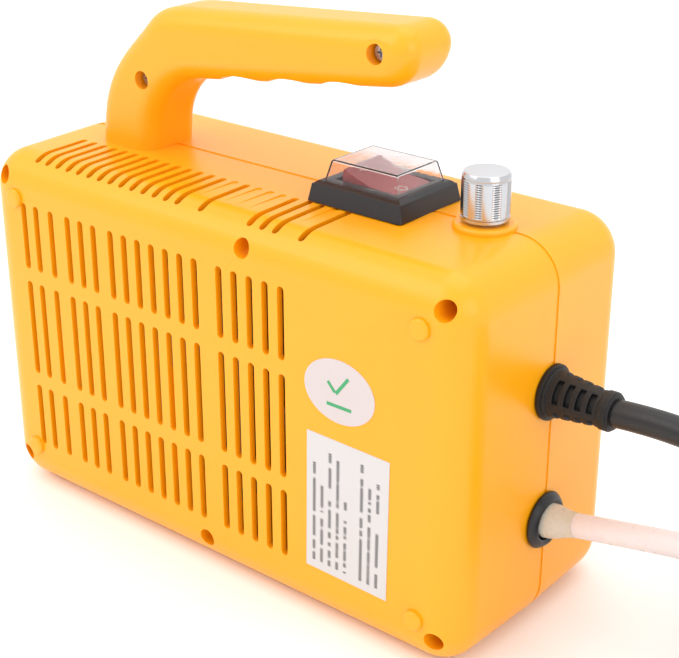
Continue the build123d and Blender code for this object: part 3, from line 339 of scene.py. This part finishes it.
def deselect_all() -> None:
    """Leave object mode's selection empty."""
    if bpy.context.object and bpy.context.object.mode != "OBJECT":
        bpy.ops.object.mode_set(mode="OBJECT")
    bpy.ops.object.select_all(action="DESELECT")


def take(piece: Piece) -> None:
    """Make a piece the only selected one, and the active one."""
    deselect_all()
    piece.select_set(True)
    bpy.context.view_layer.objects.active = piece


def clear_picks(piece: Piece, element: str) -> None:
    """Deselect all of a piece's points, edges and faces, ending in object mode.

    Args:
        piece: the mesh object.
        element: the edit mode's kind of selection: VERT, EDGE or FACE.
    """
    take(piece)
    bpy.ops.object.mode_set(mode="EDIT")
    bpy.ops.mesh.select_mode(type=element)
    bpy.ops.mesh.select_all(action="DESELECT")
    bpy.ops.object.mode_set(mode="OBJECT")


def pick_faces(piece: Piece, wanted: Callable[[bpy.types.MeshPolygon], bool]) -> None:
    """Select the faces that pass a test, leaving edit mode on in face mode."""
    clear_picks(piece, "FACE")
    for face in piece.data.polygons:
        face.select = wanted(face)
    bpy.ops.object.mode_set(mode="EDIT")


def pick_edges(piece: Piece, wanted: Callable[[Vector, Vector], bool]) -> None:
    """Select the edges whose two ends pass a test, leaving edit mode on in edge mode."""
    clear_picks(piece, "EDGE")
    points = piece.data.vertices
    for edge in piece.data.edges:
        edge.select = wanted(points[edge.vertices[0]].co, points[edge.vertices[1]].co)
    bpy.ops.object.mode_set(mode="EDIT")


def pick_points(piece: Piece, wanted: Callable[[Vector], bool]) -> None:
    """Select the points that pass a test, leaving edit mode on in vertex mode."""
    clear_picks(piece, "VERT")
    for point in piece.data.vertices:
        point.select = wanted(point.co)
    bpy.ops.object.mode_set(mode="EDIT")


def settle(piece: Piece) -> None:
    """Put a piece's place, turn and size into its mesh."""
    deselect_all()
    bpy.context.view_layer.update()
    piece.data.transform(piece.matrix_world)
    piece.matrix_world = Matrix.Identity(4)


def apply_modifier(piece: Piece, kind: str, **settings: object) -> None:
    """Add a modifier with its settings and apply it at once."""
    take(piece)
    modifier = piece.modifiers.new(kind.lower(), kind)
    for name, value in settings.items():
        setattr(modifier, name, value)
    bpy.ops.object.modifier_apply(modifier=modifier.name)


def smooth(piece: Piece, angle: float = 35.0) -> None:
    """Shade a piece smooth, with its sharp edges kept, and weight its normals by face area."""
    take(piece)
    bpy.ops.object.shade_smooth_by_angle(angle=radians(angle))
    apply_modifier(piece, "WEIGHTED_NORMAL", keep_sharp=True)


def bevel(piece: Piece, width_mm: float, segments: int = 2, angle: float = 35.0) -> None:
    """Round a piece's sharp edges."""
    apply_modifier(
        piece, "BEVEL", width=width_mm * MM, segments=segments, limit_method="ANGLE",
        angle_limit=radians(angle), use_clamp_overlap=True,
    )


def tidy_mesh(piece: Piece) -> None:
    """Merge doubled points and turn every face outwards."""
    take(piece)
    bpy.ops.object.mode_set(mode="EDIT")
    bpy.ops.mesh.select_all(action="SELECT")
    bpy.ops.mesh.remove_doubles(threshold=0.002 * MM)
    bpy.ops.mesh.normals_make_consistent(inside=False)
    bpy.ops.object.mode_set(mode="OBJECT")


def join_flats(piece: Piece, angle: float) -> None:
    """Join a piece's flat triangles into whole faces."""
    take(piece)
    bpy.ops.object.mode_set(mode="EDIT")
    bpy.ops.mesh.select_all(action="SELECT")
    bpy.ops.mesh.dissolve_limited(angle_limit=radians(angle))
    bpy.ops.object.mode_set(mode="OBJECT")


def merged_copy(node: str, name: str) -> Piece:
    """Copy a CAD node's mesh as one connected skin.

    Args:
        node: the CAD node.
        name: the new piece's name.

    Returns:
        The copy, at the origin, riding on nothing yet.
    """
    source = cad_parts[node]
    piece = bpy.data.objects.new(name, source.data.copy())
    bpy.context.scene.collection.objects.link(piece)
    take(piece)
    if piece.data.has_custom_normals:
        bpy.ops.mesh.customdata_custom_splitnormals_clear()
    bpy.ops.object.mode_set(mode="EDIT")
    bpy.ops.mesh.select_all(action="SELECT")
    bpy.ops.mesh.remove_doubles(threshold=0.001 * MM)
    bpy.ops.object.mode_set(mode="OBJECT")
    return piece


def turned(name: str, rings: Sequence[Ring], sides: int, closed: bool = False) -> Piece:
    """Make a turned piece by drawing a circle up through its rings, with both ends filled.

    Args:
        name: the piece's name.
        rings: radius and height of each ring, in millimetres, from the bottom up.
        sides: how many sides the circle has.
        closed: join the last ring to the first instead of filling the ends.

    Returns:
        The piece, standing on the origin with its axis up.
    """
    deselect_all()
    first_r, first_z = rings[0]
    bpy.ops.mesh.primitive_circle_add(
        vertices=sides, radius=first_r * MM, fill_type="NOTHING", location=(0.0, 0.0, first_z * MM)
    )
    piece = bpy.context.object
    piece.name = name
    settle(piece)
    take(piece)
    bpy.ops.object.mode_set(mode="EDIT")
    bpy.ops.mesh.select_all(action="SELECT")
    if not closed:
        bpy.ops.mesh.edge_face_add()
        bpy.ops.mesh.select_mode(type="EDGE")
        bpy.ops.mesh.select_all(action="SELECT")
    radius, height = first_r, first_z
    for next_r, next_z in rings[1:]:
        step = (0.0, 0.0, (next_z - height) * MM)
        bpy.ops.mesh.extrude_edges_move(TRANSFORM_OT_translate={"value": step})
        share = next_r / radius
        bpy.ops.transform.resize(value=(share, share, 1.0), center_override=(0.0, 0.0, next_z * MM))
        radius, height = next_r, next_z
    if not closed:
        bpy.ops.mesh.edge_face_add()
    bpy.ops.object.mode_set(mode="OBJECT")
    tidy_mesh(piece)
    return piece


def stand(piece: Piece, at: Point, along: Along = Along.UP, lean_deg: float = 0.0) -> None:
    """Move a turned piece from the origin to its place.

    Args:
        piece: the piece, with its axis up.
        at: where its origin goes, in metres.
        along: the way its axis points.
        lean_deg: how far an axis along the body rises, in degrees.
    """
    turn = Matrix.Identity(4)
    if along is Along.ALONG_BODY:
        turn = Matrix.Rotation(radians(90.0 - lean_deg), 4, "Y")
    piece.data.transform(Matrix.Translation(at) @ turn)


def block(name: str, size_mm: Point, at: Point) -> Piece:
    """Add a block of a size in millimetres, centred on a place in metres, to be shaped further."""
    deselect_all()
    bpy.ops.mesh.primitive_cube_add(size=1.0, location=at, scale=tuple(side * MM for side in size_mm))
    piece = bpy.context.object
    piece.name = name
    settle(piece)
    return piece


def dress(piece: Piece, finish: Finish, body: str, replaced: Iterable[str] = ()) -> Piece:
    """Give a piece its finish, its body and the CAD nodes that it stands for.

    Args:
        piece: the finished piece.
        finish: its finish.
        body: the CAD body that it rides on.
        replaced: the CAD nodes that it replaces.

    Returns:
        The same piece.
    """
    piece.data.materials.clear()
    piece.data.materials.append(finish.build())
    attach(piece, body)
    nodes = list(replaced)
    if nodes:
        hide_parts(*nodes)
    LOG.info("%s rides on %s and stands for %s", piece.name, body, nodes or "nothing")
    return piece


def paint_node(node: str, finish: Finish) -> None:
    """Give a CAD node that stays its finish."""
    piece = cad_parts[node]
    if not piece.material_slots:
        piece.data.materials.append(finish.build())
    for slot in piece.material_slots:
        slot.material = finish.build()


# ---------------------------------------------------------------- studio
@dataclass(frozen=True)
class Softbox:
    """A large rectangular light."""

    name: str
    place: Point
    aim: Point
    size: tuple[float, float]
    power: float


@dataclass(frozen=True)
class Studio:
    """The camera, the pale floor, the even white surroundings and the softboxes."""

    camera_place: Point = (0.36112, -0.40296, 0.32426)
    camera_pitch_deg: float = 66.13
    camera_yaw_deg: float = 39.8
    lens_mm: float = 79.51
    sensor_mm: float = 36.0
    near_clip: float = 0.01
    floor_size: float = 30.0
    surround: float = 1.12
    softboxes: tuple[Softbox, ...] = (
        Softbox("key_softbox", (-0.55, -0.75, 1.05), (0.0, 0.0, 0.08), (0.9, 0.9), 4.2),
        Softbox("fill_softbox", (1.05, -0.25, 0.6), (0.05, 0.0, 0.08), (0.7, 0.7), 2.1),
        Softbox("top_softbox", (0.0, 0.25, 1.3), (0.0, 0.0, 0.1), (1.1, 1.1), 4.2),
    )

    def set_camera(self) -> None:
        """Set up the camera."""
        data = bpy.data.cameras.new("camera")
        data.lens = self.lens_mm
        data.sensor_width = self.sensor_mm
        data.clip_start = self.near_clip
        camera = bpy.data.objects.new("camera", data)
        bpy.context.scene.collection.objects.link(camera)
        camera.location = self.camera_place
        camera.rotation_euler = (radians(self.camera_pitch_deg), 0.0, radians(self.camera_yaw_deg))
        bpy.context.scene.camera = camera

    def set_floor(self) -> None:
        """Lay the floor, which isn't part of the object."""
        deselect_all()
        bpy.ops.mesh.primitive_plane_add(size=self.floor_size, location=(0.0, 0.0, 0.0))
        floor = bpy.context.object
        floor.name = "studio_floor"
        floor.data.materials.append(FLOOR_PAPER.build())

    def set_lights(self) -> None:
        """Hang the softboxes and light the surroundings."""
        for box in self.softboxes:
            data = bpy.data.lights.new(box.name, "AREA")
            data.shape = "RECTANGLE"
            data.size, data.size_y = box.size
            data.energy = box.power
            light = bpy.data.objects.new(box.name, data)
            bpy.context.scene.collection.objects.link(light)
            light.location = box.place
            facing = Vector(box.aim) - Vector(box.place)
            light.rotation_euler = facing.to_track_quat("-Z", "Y").to_euler()
        world = bpy.data.worlds.new("surroundings")
        world.use_nodes = True
        tree = world.node_tree
        tree.nodes.clear()
        white = {"Color": linear("#FFFFFF"), "Strength": self.surround}
        glow = add_node(tree, "ShaderNodeBackground", None, white)
        add_node(tree, "ShaderNodeOutputWorld", None, {"Surface": glow.outputs["Background"]})
        bpy.context.scene.world = world
        bpy.context.scene.view_settings.view_transform = "Standard"

    def build(self) -> None:
        """Set up the whole studio."""
        self.set_camera()
        self.set_floor()
        self.set_lights()


# ---------------------------------------------------------------- cords
@dataclass(frozen=True)
class Hank:
    """A neat hank: a long loop with a round fold at each end, its turns lying on each other."""

    near_x: float
    far_x: float
    middle_y: float
    fold_radius: float
    turns: int
    spacing: float
    floor_height: float
    points_per_fold: int = 8
    run_point: float = 0.013

    def level(self, turn: int) -> float:
        """Return a turn's height at its folds, the first turn on top."""
        return self.floor_height + (self.turns - 1 - turn) * self.spacing

    def fold(self, centre_x: float, start_deg: float, height: float) -> list[Point]:
        """Return the points round one fold, a little outside it, so that the line passes through it.

        Args:
            centre_x: the fold's centre along the hank.
            start_deg: the angle that the fold starts at.
            height: the height of the fold's turn.

        Returns:
            The control points, anticlockwise seen from above.
        """
        step = pi / self.points_per_fold
        radius = self.fold_radius / cos(step / 2)
        angles = [radians(start_deg) + step * (place + 0.5) for place in range(self.points_per_fold)]
        side = 1.0 if start_deg < 0 else -1.0
        run_x = centre_x - side * self.run_point
        low, high = self.middle_y - self.fold_radius, self.middle_y + self.fold_radius
        first, last = (low, high) if side > 0 else (high, low)
        turned_in = [(centre_x + radius * cos(a), self.middle_y + radius * sin(a), height) for a in angles]
        return [(run_x, first, height), *turned_in, (run_x, last, height)]

    def points(self) -> list[Point]:
        """Return every turn's points, from the first far fold to the last near fold."""
        points = []
        for turn in range(self.turns):
            height = self.level(turn)
            points += self.fold(self.far_x, -90.0, height)
            points += self.fold(self.near_x, 90.0, height)
        return points[:-1]


@dataclass(frozen=True)
class FreeLine:
    """A cord or hose: a free stretch, its hank, and a tail that curls into the hank to its end piece."""

    name: str
    finish: Finish
    slot: str
    diameter: float
    length: float
    route: tuple[Point, ...]
    hank: Hank
    tail: tuple[Point, ...]
    far_end: str
    stiffness: str
    replaced: tuple[str, ...]

    def build(self, with_pieces: Sequence[object]) -> Piece:
        """Lay the line along its route as one smooth tube.

        Args:
            with_pieces: the separate pieces on it; not used.

        Returns:
            The line's curve object.
        """
        curve = bpy.data.curves.new(self.name, "CURVE")
        curve.dimensions = "3D"
        curve.bevel_depth = self.diameter / 2
        curve.bevel_resolution = 5
        curve.resolution_u = 10
        curve.use_fill_caps = True
        spline = curve.splines.new("NURBS")
        points = [*self.route, *self.hank.points(), *self.tail]
        spline.points.add(len(points) - 1)
        for point, place in zip(spline.points, points):
            point.co = (*place, 1.0)
        spline.order_u = 3
        spline.use_endpoint_u = True
        line = bpy.data.objects.new(self.name, curve)
        bpy.context.scene.collection.objects.link(line)
        curve.materials.append(self.finish.build())
        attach(line, "root")
        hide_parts(*self.replaced)
        LOG.info("%s is %.2f m long", self.name, self.length)
        return line


MAINS_CORD = FreeLine(
    name="mains_cord",
    finish=CORD_PVC,
    slot="cord_pvc",
    diameter=0.010,
    length=1.74,
    route=(
        (0.146, 0.0, 0.0955), (0.175, 0.0, 0.0983), (0.205, -0.005, 0.0915), (0.231, -0.017, 0.0755),
        (0.256, -0.0315, 0.058), (0.280, -0.042, 0.0465), (0.303, -0.045, 0.041),
    ),
    hank=Hank(
        near_x=0.232, far_x=0.333, middle_y=-0.015, fold_radius=0.030, turns=4, spacing=0.010,
        floor_height=0.0051,
    ),
    tail=(
        (0.243, -0.0435, 0.0052), (0.251, -0.0375, 0.0058), (0.258, -0.0288, 0.0074),
        (0.2677, -0.0217, 0.0094), (0.279, -0.0176, 0.0114), (0.291, -0.0166, 0.0124),
        (0.300, -0.0166, 0.0125),
    ),
    far_end="plug",
    stiffness="stiff",
    replaced=("power_cord", "power_cord_coil", "power_cord_tail"),
)

SUCTION_HOSE = FreeLine(
    name="suction_line",
    finish=SILICONE_HOSE,
    slot="hose_silicone",
    diameter=0.009,
    length=1.76,
    route=(
        (0.1344, 0.0, 0.0474), (0.1535, 0.0, 0.0512), (0.176, 0.0008, 0.055), (0.203, 0.0065, 0.0535),
        (0.230, 0.017, 0.0475), (0.257, 0.025, 0.0415), (0.284, 0.027, 0.038),
    ),
    hank=Hank(
        near_x=0.200, far_x=0.320, middle_y=0.054, fold_radius=0.027, turns=4, spacing=0.009,
        floor_height=0.0046,
    ),
    tail=(
        (0.2085, 0.0285, 0.0046), (0.2165, 0.0330, 0.0048), (0.2235, 0.0383, 0.0054),
        (0.232, 0.0438, 0.0066), (0.2426, 0.0466, 0.0081), (0.252, 0.0466, 0.0088),
        (0.260, 0.0466, 0.009),
    ),
    far_end="fitting",
    stiffness="medium",
    replaced=("suction_hose", "suction_hose_coil", "suction_hose_tail"),
)


# ---------------------------------------------------------------- housing
@dataclass(frozen=True)
class Housing:
    """The two moulded shells, as connected skins with soft shading."""

    shells: tuple[str, ...] = ("back_shell", "front_shell")

    def build(self) -> None:
        """Copy each shell and give it the housing's finish."""
        for shell in self.shells:
            piece = merged_copy(shell, f"{shell}_skin")
            smooth(piece, 30.0)
            dress(piece, HOUSING_ABS, "root", [shell])


# ---------------------------------------------------------------- switch
@dataclass(frozen=True)
class SwitchUnit:
    """The black surround, the clear splash cover, and the rocker with its printed marks."""

    centre_x: float = 46.3
    cover_base: tuple[float, float] = (33.6, 27.4)
    cover_top: tuple[float, float] = (30.0, 23.8)
    cover_z: float = 156.2
    cover_height: float = 7.6
    cover_wall: float = 0.8
    cover_round: float = 0.9
    cover_lip: float = 0.8
    rocker_half: float = 12.0
    rocker_dip: float = 5.8
    rocker_rise: float = 1.6
    mark_along: float = 8.6
    mark_across: float = -3.0
    mark_lift: float = 0.03
    mark_flatness: float = 0.35
    pivot_z: float = 151.0
    tilt_deg: float = 12.0

    def cover(self) -> None:
        """Shape the splash cover: a thin-walled box drawn in at the top, open below, with a narrow lip."""
        centre = (self.centre_x * MM, 0.0, (self.cover_z + self.cover_height / 2) * MM)
        piece = block("splash_cover", (*self.cover_base, self.cover_height), centre)
        pick_faces(piece, lambda face: face.normal.z > 0.9)
        bpy.ops.transform.resize(
            value=(self.cover_top[0] / self.cover_base[0], self.cover_top[1] / self.cover_base[1], 1.0),
            center_override=(centre[0], 0.0, centre[2]),
        )
        pick_faces(piece, lambda face: face.normal.z < -0.9)
        bpy.ops.mesh.delete(type="FACE")
        bpy.ops.object.mode_set(mode="OBJECT")
        low_z = self.cover_z * MM
        pick_edges(piece, lambda a, b: a.z > low_z + MM or b.z > low_z + MM)
        bpy.ops.mesh.bevel(offset=self.cover_round * MM, segments=3, affect="EDGES")
        pick_edges(piece, lambda a, b: a.z < low_z + 0.1 * MM and b.z < low_z + 0.1 * MM)
        bpy.ops.mesh.extrude_edges_move()
        lip = [(side + self.cover_lip) / side for side in self.cover_base]
        bpy.ops.transform.resize(value=(*lip, 1.0), center_override=(centre[0], 0.0, low_z))
        bpy.ops.object.mode_set(mode="OBJECT")
        apply_modifier(piece, "SOLIDIFY", thickness=self.cover_wall * MM, offset=-1.0, use_even_offset=True)
        tidy_mesh(piece)
        smooth(piece, 30.0)
        dress(piece, COVER_PVC, "root", ["switch_cover"])

    def rocker(self) -> None:
        """Soften the rocker's edges, and print its on and off marks."""
        piece = merged_copy("switch_rocker", "rocker_button")
        join_flats(piece, 1.0)
        bevel(piece, 0.35, 3)
        smooth(piece)
        dress(piece, ROCKER_RED, "rocker", ["switch_rocker"])
        self.mark("off_mark", self.mark_along, ring=True)
        self.mark("on_mark", -self.mark_along, ring=False)

    def mark(self, name: str, along: float, ring: bool) -> None:
        """Print one mark on the rocker's face.

        Args:
            name: the mark's name.
            along: its place along the rocker from the pivot, in millimetres.
            ring: a ring for off, or a bar for on.
        """
        face_height = self.rocker_dip + self.rocker_rise * abs(along) / self.rocker_half
        slope = -degrees(atan2(self.rocker_rise, self.rocker_half)) * (1 if along > 0 else -1)
        deselect_all()
        if ring:
            bpy.ops.mesh.primitive_torus_add(
                major_radius=1.9 * MM, minor_radius=0.28 * MM, major_segments=40, minor_segments=8
            )
            piece = bpy.context.object
        else:
            piece = block(name, (0.6, 3.8, 0.3), (0.0, 0.0, 0.0))
            bevel(piece, 0.1)
        piece.name = name
        piece.data.transform(Matrix.Diagonal((1.0, 1.0, self.mark_flatness, 1.0)))
        height = (face_height + self.mark_lift) * MM
        on_face = Matrix.Translation((along * MM, self.mark_across * MM, height))
        on_face = on_face @ Matrix.Rotation(radians(slope), 4, "Y")
        tilted = Matrix.Translation((self.centre_x * MM, 0.0, self.pivot_z * MM))
        tilted = tilted @ Matrix.Rotation(radians(self.tilt_deg), 4, "Y")
        piece.data.transform(tilted @ on_face)
        smooth(piece)
        dress(piece, MARK_WHITE, "rocker")

    def build(self) -> None:
        """Build the whole switch."""
        BEZEL.build()
        self.cover()
        self.rocker()


# ---------------------------------------------------------------- steam knob
@dataclass(frozen=True)
class SteamKnob:
    """A turned aluminium knob: a plain foot, a barrel of plain and ribbed bands, and a matt cap."""

    centre_x: float = 90.0
    foot_z: float = 152.0
    radius: float = 8.6
    height: float = 17.0
    barrel: tuple[float, float] = (2.0, 14.2)
    rib_pitch: float = 0.8
    rib_depth: float = 0.3
    bands: int = 18
    sides_per_band: int = 5

    def rings(self) -> list[Ring]:
        """Return the barrel's rings, with two close rings in each fine groove."""
        low, high = self.barrel
        steps = round((high - low) / (self.rib_pitch / 2))
        foot = [
            (self.radius - 1.4, 0.0), (self.radius - 0.2, 0.0), (self.radius, 0.25), (self.radius, 1.2),
            (8.25, 1.4), (8.25, 1.8),
        ]
        barrel = [(self.radius, low + (high - low) * step / steps) for step in range(steps + 1)]
        cap = [(8.5, 14.5), (8.45, 14.9), (8.55, 15.1), (8.5, 15.7), (7.9, 16.8), (7.6, 16.95), (7.0, 17.0)]
        return [*foot, *barrel, *cap]

    def build(self) -> None:
        """Turn the knob, press its ribs in, and finish its cap."""
        piece = turned("ribbed_knob", self.rings(), self.bands * self.sides_per_band)
        low, high = (edge * MM for edge in self.barrel)
        steps = round((self.barrel[1] - self.barrel[0]) / (self.rib_pitch / 2))
        spacing = (high - low) / steps

        def in_groove(point: Vector) -> bool:
            """Tell whether a point lies on the floor of a fine groove."""
            row = round((point.z - low) / spacing)
            on_row = abs(point.z - low - row * spacing) < 1e-6 and 0 < row < steps and row % 2 == 1
            side = round((atan2(point.y, point.x) % (2 * pi)) / (2 * pi) * self.bands * self.sides_per_band)
            band, place = divmod(side, self.sides_per_band)
            return on_row and band % 2 == 0 and 0 < place

        pick_points(piece, in_groove)
        share = 1.0 - self.rib_depth / self.radius
        bpy.ops.transform.resize(value=(share, share, 1.0), center_override=(0.0, 0.0, 0.0))
        pick_faces(piece, lambda face: face.normal.z > 0.9 and face.center.z > 16.9 * MM)
        bpy.ops.mesh.inset(thickness=0.5 * MM)
        bpy.ops.transform.translate(value=(0.0, 0.0, -0.12 * MM))
        bpy.ops.object.mode_set(mode="OBJECT")
        smooth(piece, 28.0)
        stand(piece, (self.centre_x * MM, 0.0, self.foot_z * MM))
        dress(piece, TURNED_ALUMINIUM, "knob", ["steam_knob"])
        piece.data.materials.append(MATT_ALUMINIUM.build())
        piece.data.materials.append(GROOVE_SHADE_ALUMINIUM.build())
        cap_z = (self.foot_z + self.height - 0.4) * MM
        full = (self.radius - self.rib_depth * 0.35) * MM
        # Painted shade: the groove walls that face down, inside the full radius, take the darker aluminium
        # (index 2); the cap's top takes the matt aluminium (index 1)
        for face in piece.data.polygons:
            out = hypot(face.center.x - self.centre_x * MM, face.center.y)
            in_barrel = self.barrel[0] < face.center.z / MM - self.foot_z < self.barrel[1]
            if in_barrel and out < full * cos(pi / (self.bands * self.sides_per_band)) and face.normal.z < 0:
                face.material_index = 2
            elif face.center.z > cap_z and face.normal.z > 0.8:
                face.material_index = 1


# ---------------------------------------------------------------- strain relief and grommet
@dataclass(frozen=True)
class StrainRelief:
    """The moulded sleeve that keeps the cord from kinking: a stepped flange, slotted neck and collar."""

    wall_x: float = 120.0
    axis_z: float = 95.5
    sides: int = 56
    neck_start: float = 3.0
    neck_length: float = 18.0
    neck_radius_at_wall: float = 8.5
    neck_taper: float = 2.0
    slot_starts: tuple[float, ...] = (5.5, 9.7, 13.9, 18.1)
    slot_width: float = 2.1
    slot_depth: float = 1.7
    bar_angles: tuple[float, ...] = (80.0, 170.0, 260.0, 350.0)
    bar_half_deg: float = 13.0

    def neck_radius(self, along: float) -> float:
        """Return the tapering neck's radius at a distance from the wall."""
        return self.neck_radius_at_wall - self.neck_taper * (along - self.neck_start) / self.neck_length

    def rings(self) -> list[Ring]:
        """Return the sleeve's rings from the wall outwards."""
        flange = [
            (6.3, -6.0), (6.3, 0.05), (9.9, 0.05), (10.2, 0.35), (10.2, 1.7), (9.9, 1.95), (9.3, 1.95),
            (9.3, 2.7), (9.0, 3.0),
        ]
        neck = [(self.neck_radius(self.neck_start), 3.05)]
        for start in self.slot_starts:
            for edge in (start, start + self.slot_width):
                neck.append((self.neck_radius(edge), edge))
        collar = [
            (6.35, 21.6), (6.9, 21.8), (7.0, 22.1), (7.0, 24.9), (6.7, 25.2), (6.35, 25.3), (6.3, 25.9),
            (5.15, 26.0),
        ]
        return [*flange, *neck, *collar]

    def build(self) -> None:
        """Turn the sleeve and sink its slots."""
        piece = turned("slotted_relief", self.rings(), self.sides)

        def in_slot(face: bpy.types.MeshPolygon) -> bool:
            """Tell whether a face covers one of the neck's slots."""
            along = face.center.z / MM
            in_row = any(start < along < start + self.slot_width for start in self.slot_starts)
            angle = degrees(atan2(face.center.y, -face.center.x)) % 360.0
            from_bars = [abs((angle - bar + 180.0) % 360.0 - 180.0) for bar in self.bar_angles]
            return in_row and min(from_bars) > self.bar_half_deg

        pick_faces(piece, lambda face: in_slot(face) and hypot(face.center.x, face.center.y) > 5.5 * MM)
        sink = {"value": -self.slot_depth * MM}
        bpy.ops.mesh.extrude_region_shrink_fatten(TRANSFORM_OT_shrink_fatten=sink)
        bpy.ops.object.mode_set(mode="OBJECT")
        tidy_mesh(piece)
        bevel(piece, 0.22, 2, 40.0)
        smooth(piece, 40.0)
        stand(piece, (self.wall_x * MM, 0.0, self.axis_z * MM), Along.ALONG_BODY)
        dress(piece, TEXTURED_RUBBER, "root", ["strain_relief"])


@dataclass(frozen=True)
class HoseEntry:
    """The conical rubber grommet and the hose's flared end inside it."""

    wall_x: float = 120.0
    axis_z: float = 44.6
    cuff_at: Point = (0.1216, 0.0, 0.0449)
    cuff_lean_deg: float = 11.0

    def build(self) -> Piece:
        """Turn both pieces.

        Returns:
            The hose's flared end.
        """
        grommet = turned(
            "cone_grommet",
            [
                (8.0, -2.6), (8.0, 0.0), (9.8, 0.02), (10.6, 0.35), (10.8, 0.9), (10.5, 1.5), (9.9, 2.3),
                (9.2, 3.0), (8.5, 3.35), (7.8, 3.3), (7.1, 2.9), (6.75, 2.2), (6.7, 0.0), (6.7, -2.6),
                (8.0, -2.6),
            ],
            56, closed=True,
        )
        smooth(grommet, 60.0)
        stand(grommet, (self.wall_x * MM, 0.0, self.axis_z * MM), Along.ALONG_BODY)
        dress(grommet, SMOOTH_RUBBER, "root", ["hose_grommet"])
        cuff = turned(
            "flared_hose_end",
            [
                (5.6, 0.0), (6.35, 0.05), (6.5, 0.3), (6.5, 0.9), (6.45, 2.4), (6.25, 4.2), (5.85, 6.0),
                (5.3, 8.0), (4.85, 10.0), (4.6, 11.5), (4.5, 13.0),
            ],
            48,
        )
        smooth(cuff, 50.0)
        stand(cuff, self.cuff_at, Along.ALONG_BODY, self.cuff_lean_deg)
        dress(cuff, STRETCHED_SILICONE, "root", ["hose_cuff"])
        return cuff


# ---------------------------------------------------------------- labels
@dataclass(frozen=True)
class OvalTick:
    """A plain green tick over a short rule, printed on the oval sticker."""

    centre: tuple[float, float] = (66.8, 97.2)
    face_y: float = -50.05
    thickness: float = 0.06

    def build(self) -> None:
        """Lay the tick's two strokes and the rule on the sticker."""
        strokes = (
            ("tick_short", (-3.4, 1.2), 4.6, -48.0),
            ("tick_long", (1.4, 2.6), 9.0, 52.0),
            ("tick_rule", (0.0, -5.6), 11.0, 0.0),
        )
        for name, (right, up), length, turn in strokes:
            piece = block(name, (length, self.thickness, 1.3), (0.0, 0.0, 0.0))
            bevel(piece, 0.02, 1)
            middle_y = (self.face_y - self.thickness / 2) * MM
            place = ((self.centre[0] + right) * MM, middle_y, (self.centre[1] + up) * MM)
            piece.data.transform(Matrix.Translation(place) @ Matrix.Rotation(-radians(turn), 4, "Y"))
            dress(piece, STICKER_INK, "root")


# ---------------------------------------------------------------- small parts that keep their CAD form
NODE_FINISHES: dict[str, Finish] = {
    "housing_screws": ZINC_STEEL, "handle_screws": ZINC_STEEL, "switch_body": BEZEL_ABS,
    "contact_lever": MACHINED_BRASS, "switch_terminals": MACHINED_BRASS, "potentiometer_body": ZINC_STEEL,
    "potentiometer_pins": ZINC_STEEL, "potentiometer_shaft": CAST_ALUMINIUM, "potentiometer_nut": ZINC_STEEL,
    "strain_relief_nut": GREY_NYLON, "outlet_nut": MACHINED_BRASS,
    "heater_block": CAST_ALUMINIUM, "steam_pipe": MACHINED_BRASS, "heater_nipple": MACHINED_BRASS,
    "heater_terminals": ZINC_STEEL, "thermostat": ZINC_STEEL, "thermal_fuse": ZINC_STEEL,
    "fuse_clip": ZINC_STEEL, "heater_feet": ZINC_STEEL, "pump_body": GREY_NYLON, "pump_piston": ZINC_STEEL,
    "pump_spring": ZINC_STEEL, "pump_coil": COPPER_WINDING, "pump_frame": ZINC_STEEL,
    "pump_mounts": SMOOTH_RUBBER, "outlet_sleeve": SLEEVE_SILICONE, "inlet_sleeve": SLEEVE_SILICONE,
    "sleeve_clamps": ZINC_STEEL, "inlet_fitting": GREY_NYLON, "control_board": CIRCUIT_BOARD,
    "board_screws": ZINC_STEEL, "triac_heatsink": CAST_ALUMINIUM, "board_parts": GREY_NYLON,
    "mains_leads": LEAD_PVC, "heater_leads": LEAD_PVC, "oval_sticker": STICKER_FILM,
    "rating_label": LABEL_FILM,
}


@dataclass(frozen=True)
class SoftenedPart:
    """A visible small part that keeps its CAD form, with its edges rounded a little."""

    node: str
    name: str
    finish: Finish
    slot: str
    edge_mm: float

    def build(self) -> Piece:
        """Copy, round and shade the part.

        Returns:
            The piece that stands for the CAD node.
        """
        piece = merged_copy(self.node, self.name)
        join_flats(piece, 0.5)
        if self.edge_mm:
            bevel(piece, self.edge_mm, 2, 40.0)
        smooth(piece, 35.0)
        return dress(piece, self.finish, "root", [self.node])


BEZEL = SoftenedPart("switch_bezel", "switch_surround", BEZEL_ABS, "black_abs", 0.9)
OUTLET = SoftenedPart("steam_outlet", "outlet_union", MACHINED_BRASS, "brass", 0.2)
PLUG = SoftenedPart("power_plug", "mains_plug", SMOOTH_RUBBER, "cord_pvc", 0.3)
BLADES = SoftenedPart("plug_blades", "mains_blades", MACHINED_BRASS, "brass", 0.2)
STRAINER = SoftenedPart("strainer", "hose_strainer", GREY_NYLON, "grey_nylon", 0.15)
CORD_TIE = SoftenedPart("cord_tie", "cord_tie_band", TIE_NYLON, "tie_nylon", 0.25)
HOSE_TIE = SoftenedPart("hose_tie", "hose_tie_band", TIE_NYLON, "tie_nylon", 0.25)


def main() -> None:
    """Build the studio and every piece in order."""
    logging.basicConfig(level=logging.INFO, format="%(name)s: %(message)s")
    Studio().build()
    plug, blades, cord_tie = PLUG.build(), BLADES.build(), CORD_TIE.build()
    strainer, hose_tie = STRAINER.build(), HOSE_TIE.build()
    cuff = HoseEntry().build()
    MAINS_CORD.build([plug, blades, cord_tie])
    SUCTION_HOSE.build([cuff, strainer, hose_tie])
    Housing().build()
    SwitchUnit().build()
    SteamKnob().build()
    StrainRelief().build()
    OvalTick().build()
    OUTLET.build()
    for node, finish in NODE_FINISHES.items():
        paint_node(node, finish)


if __name__ == "__main__":
    main()
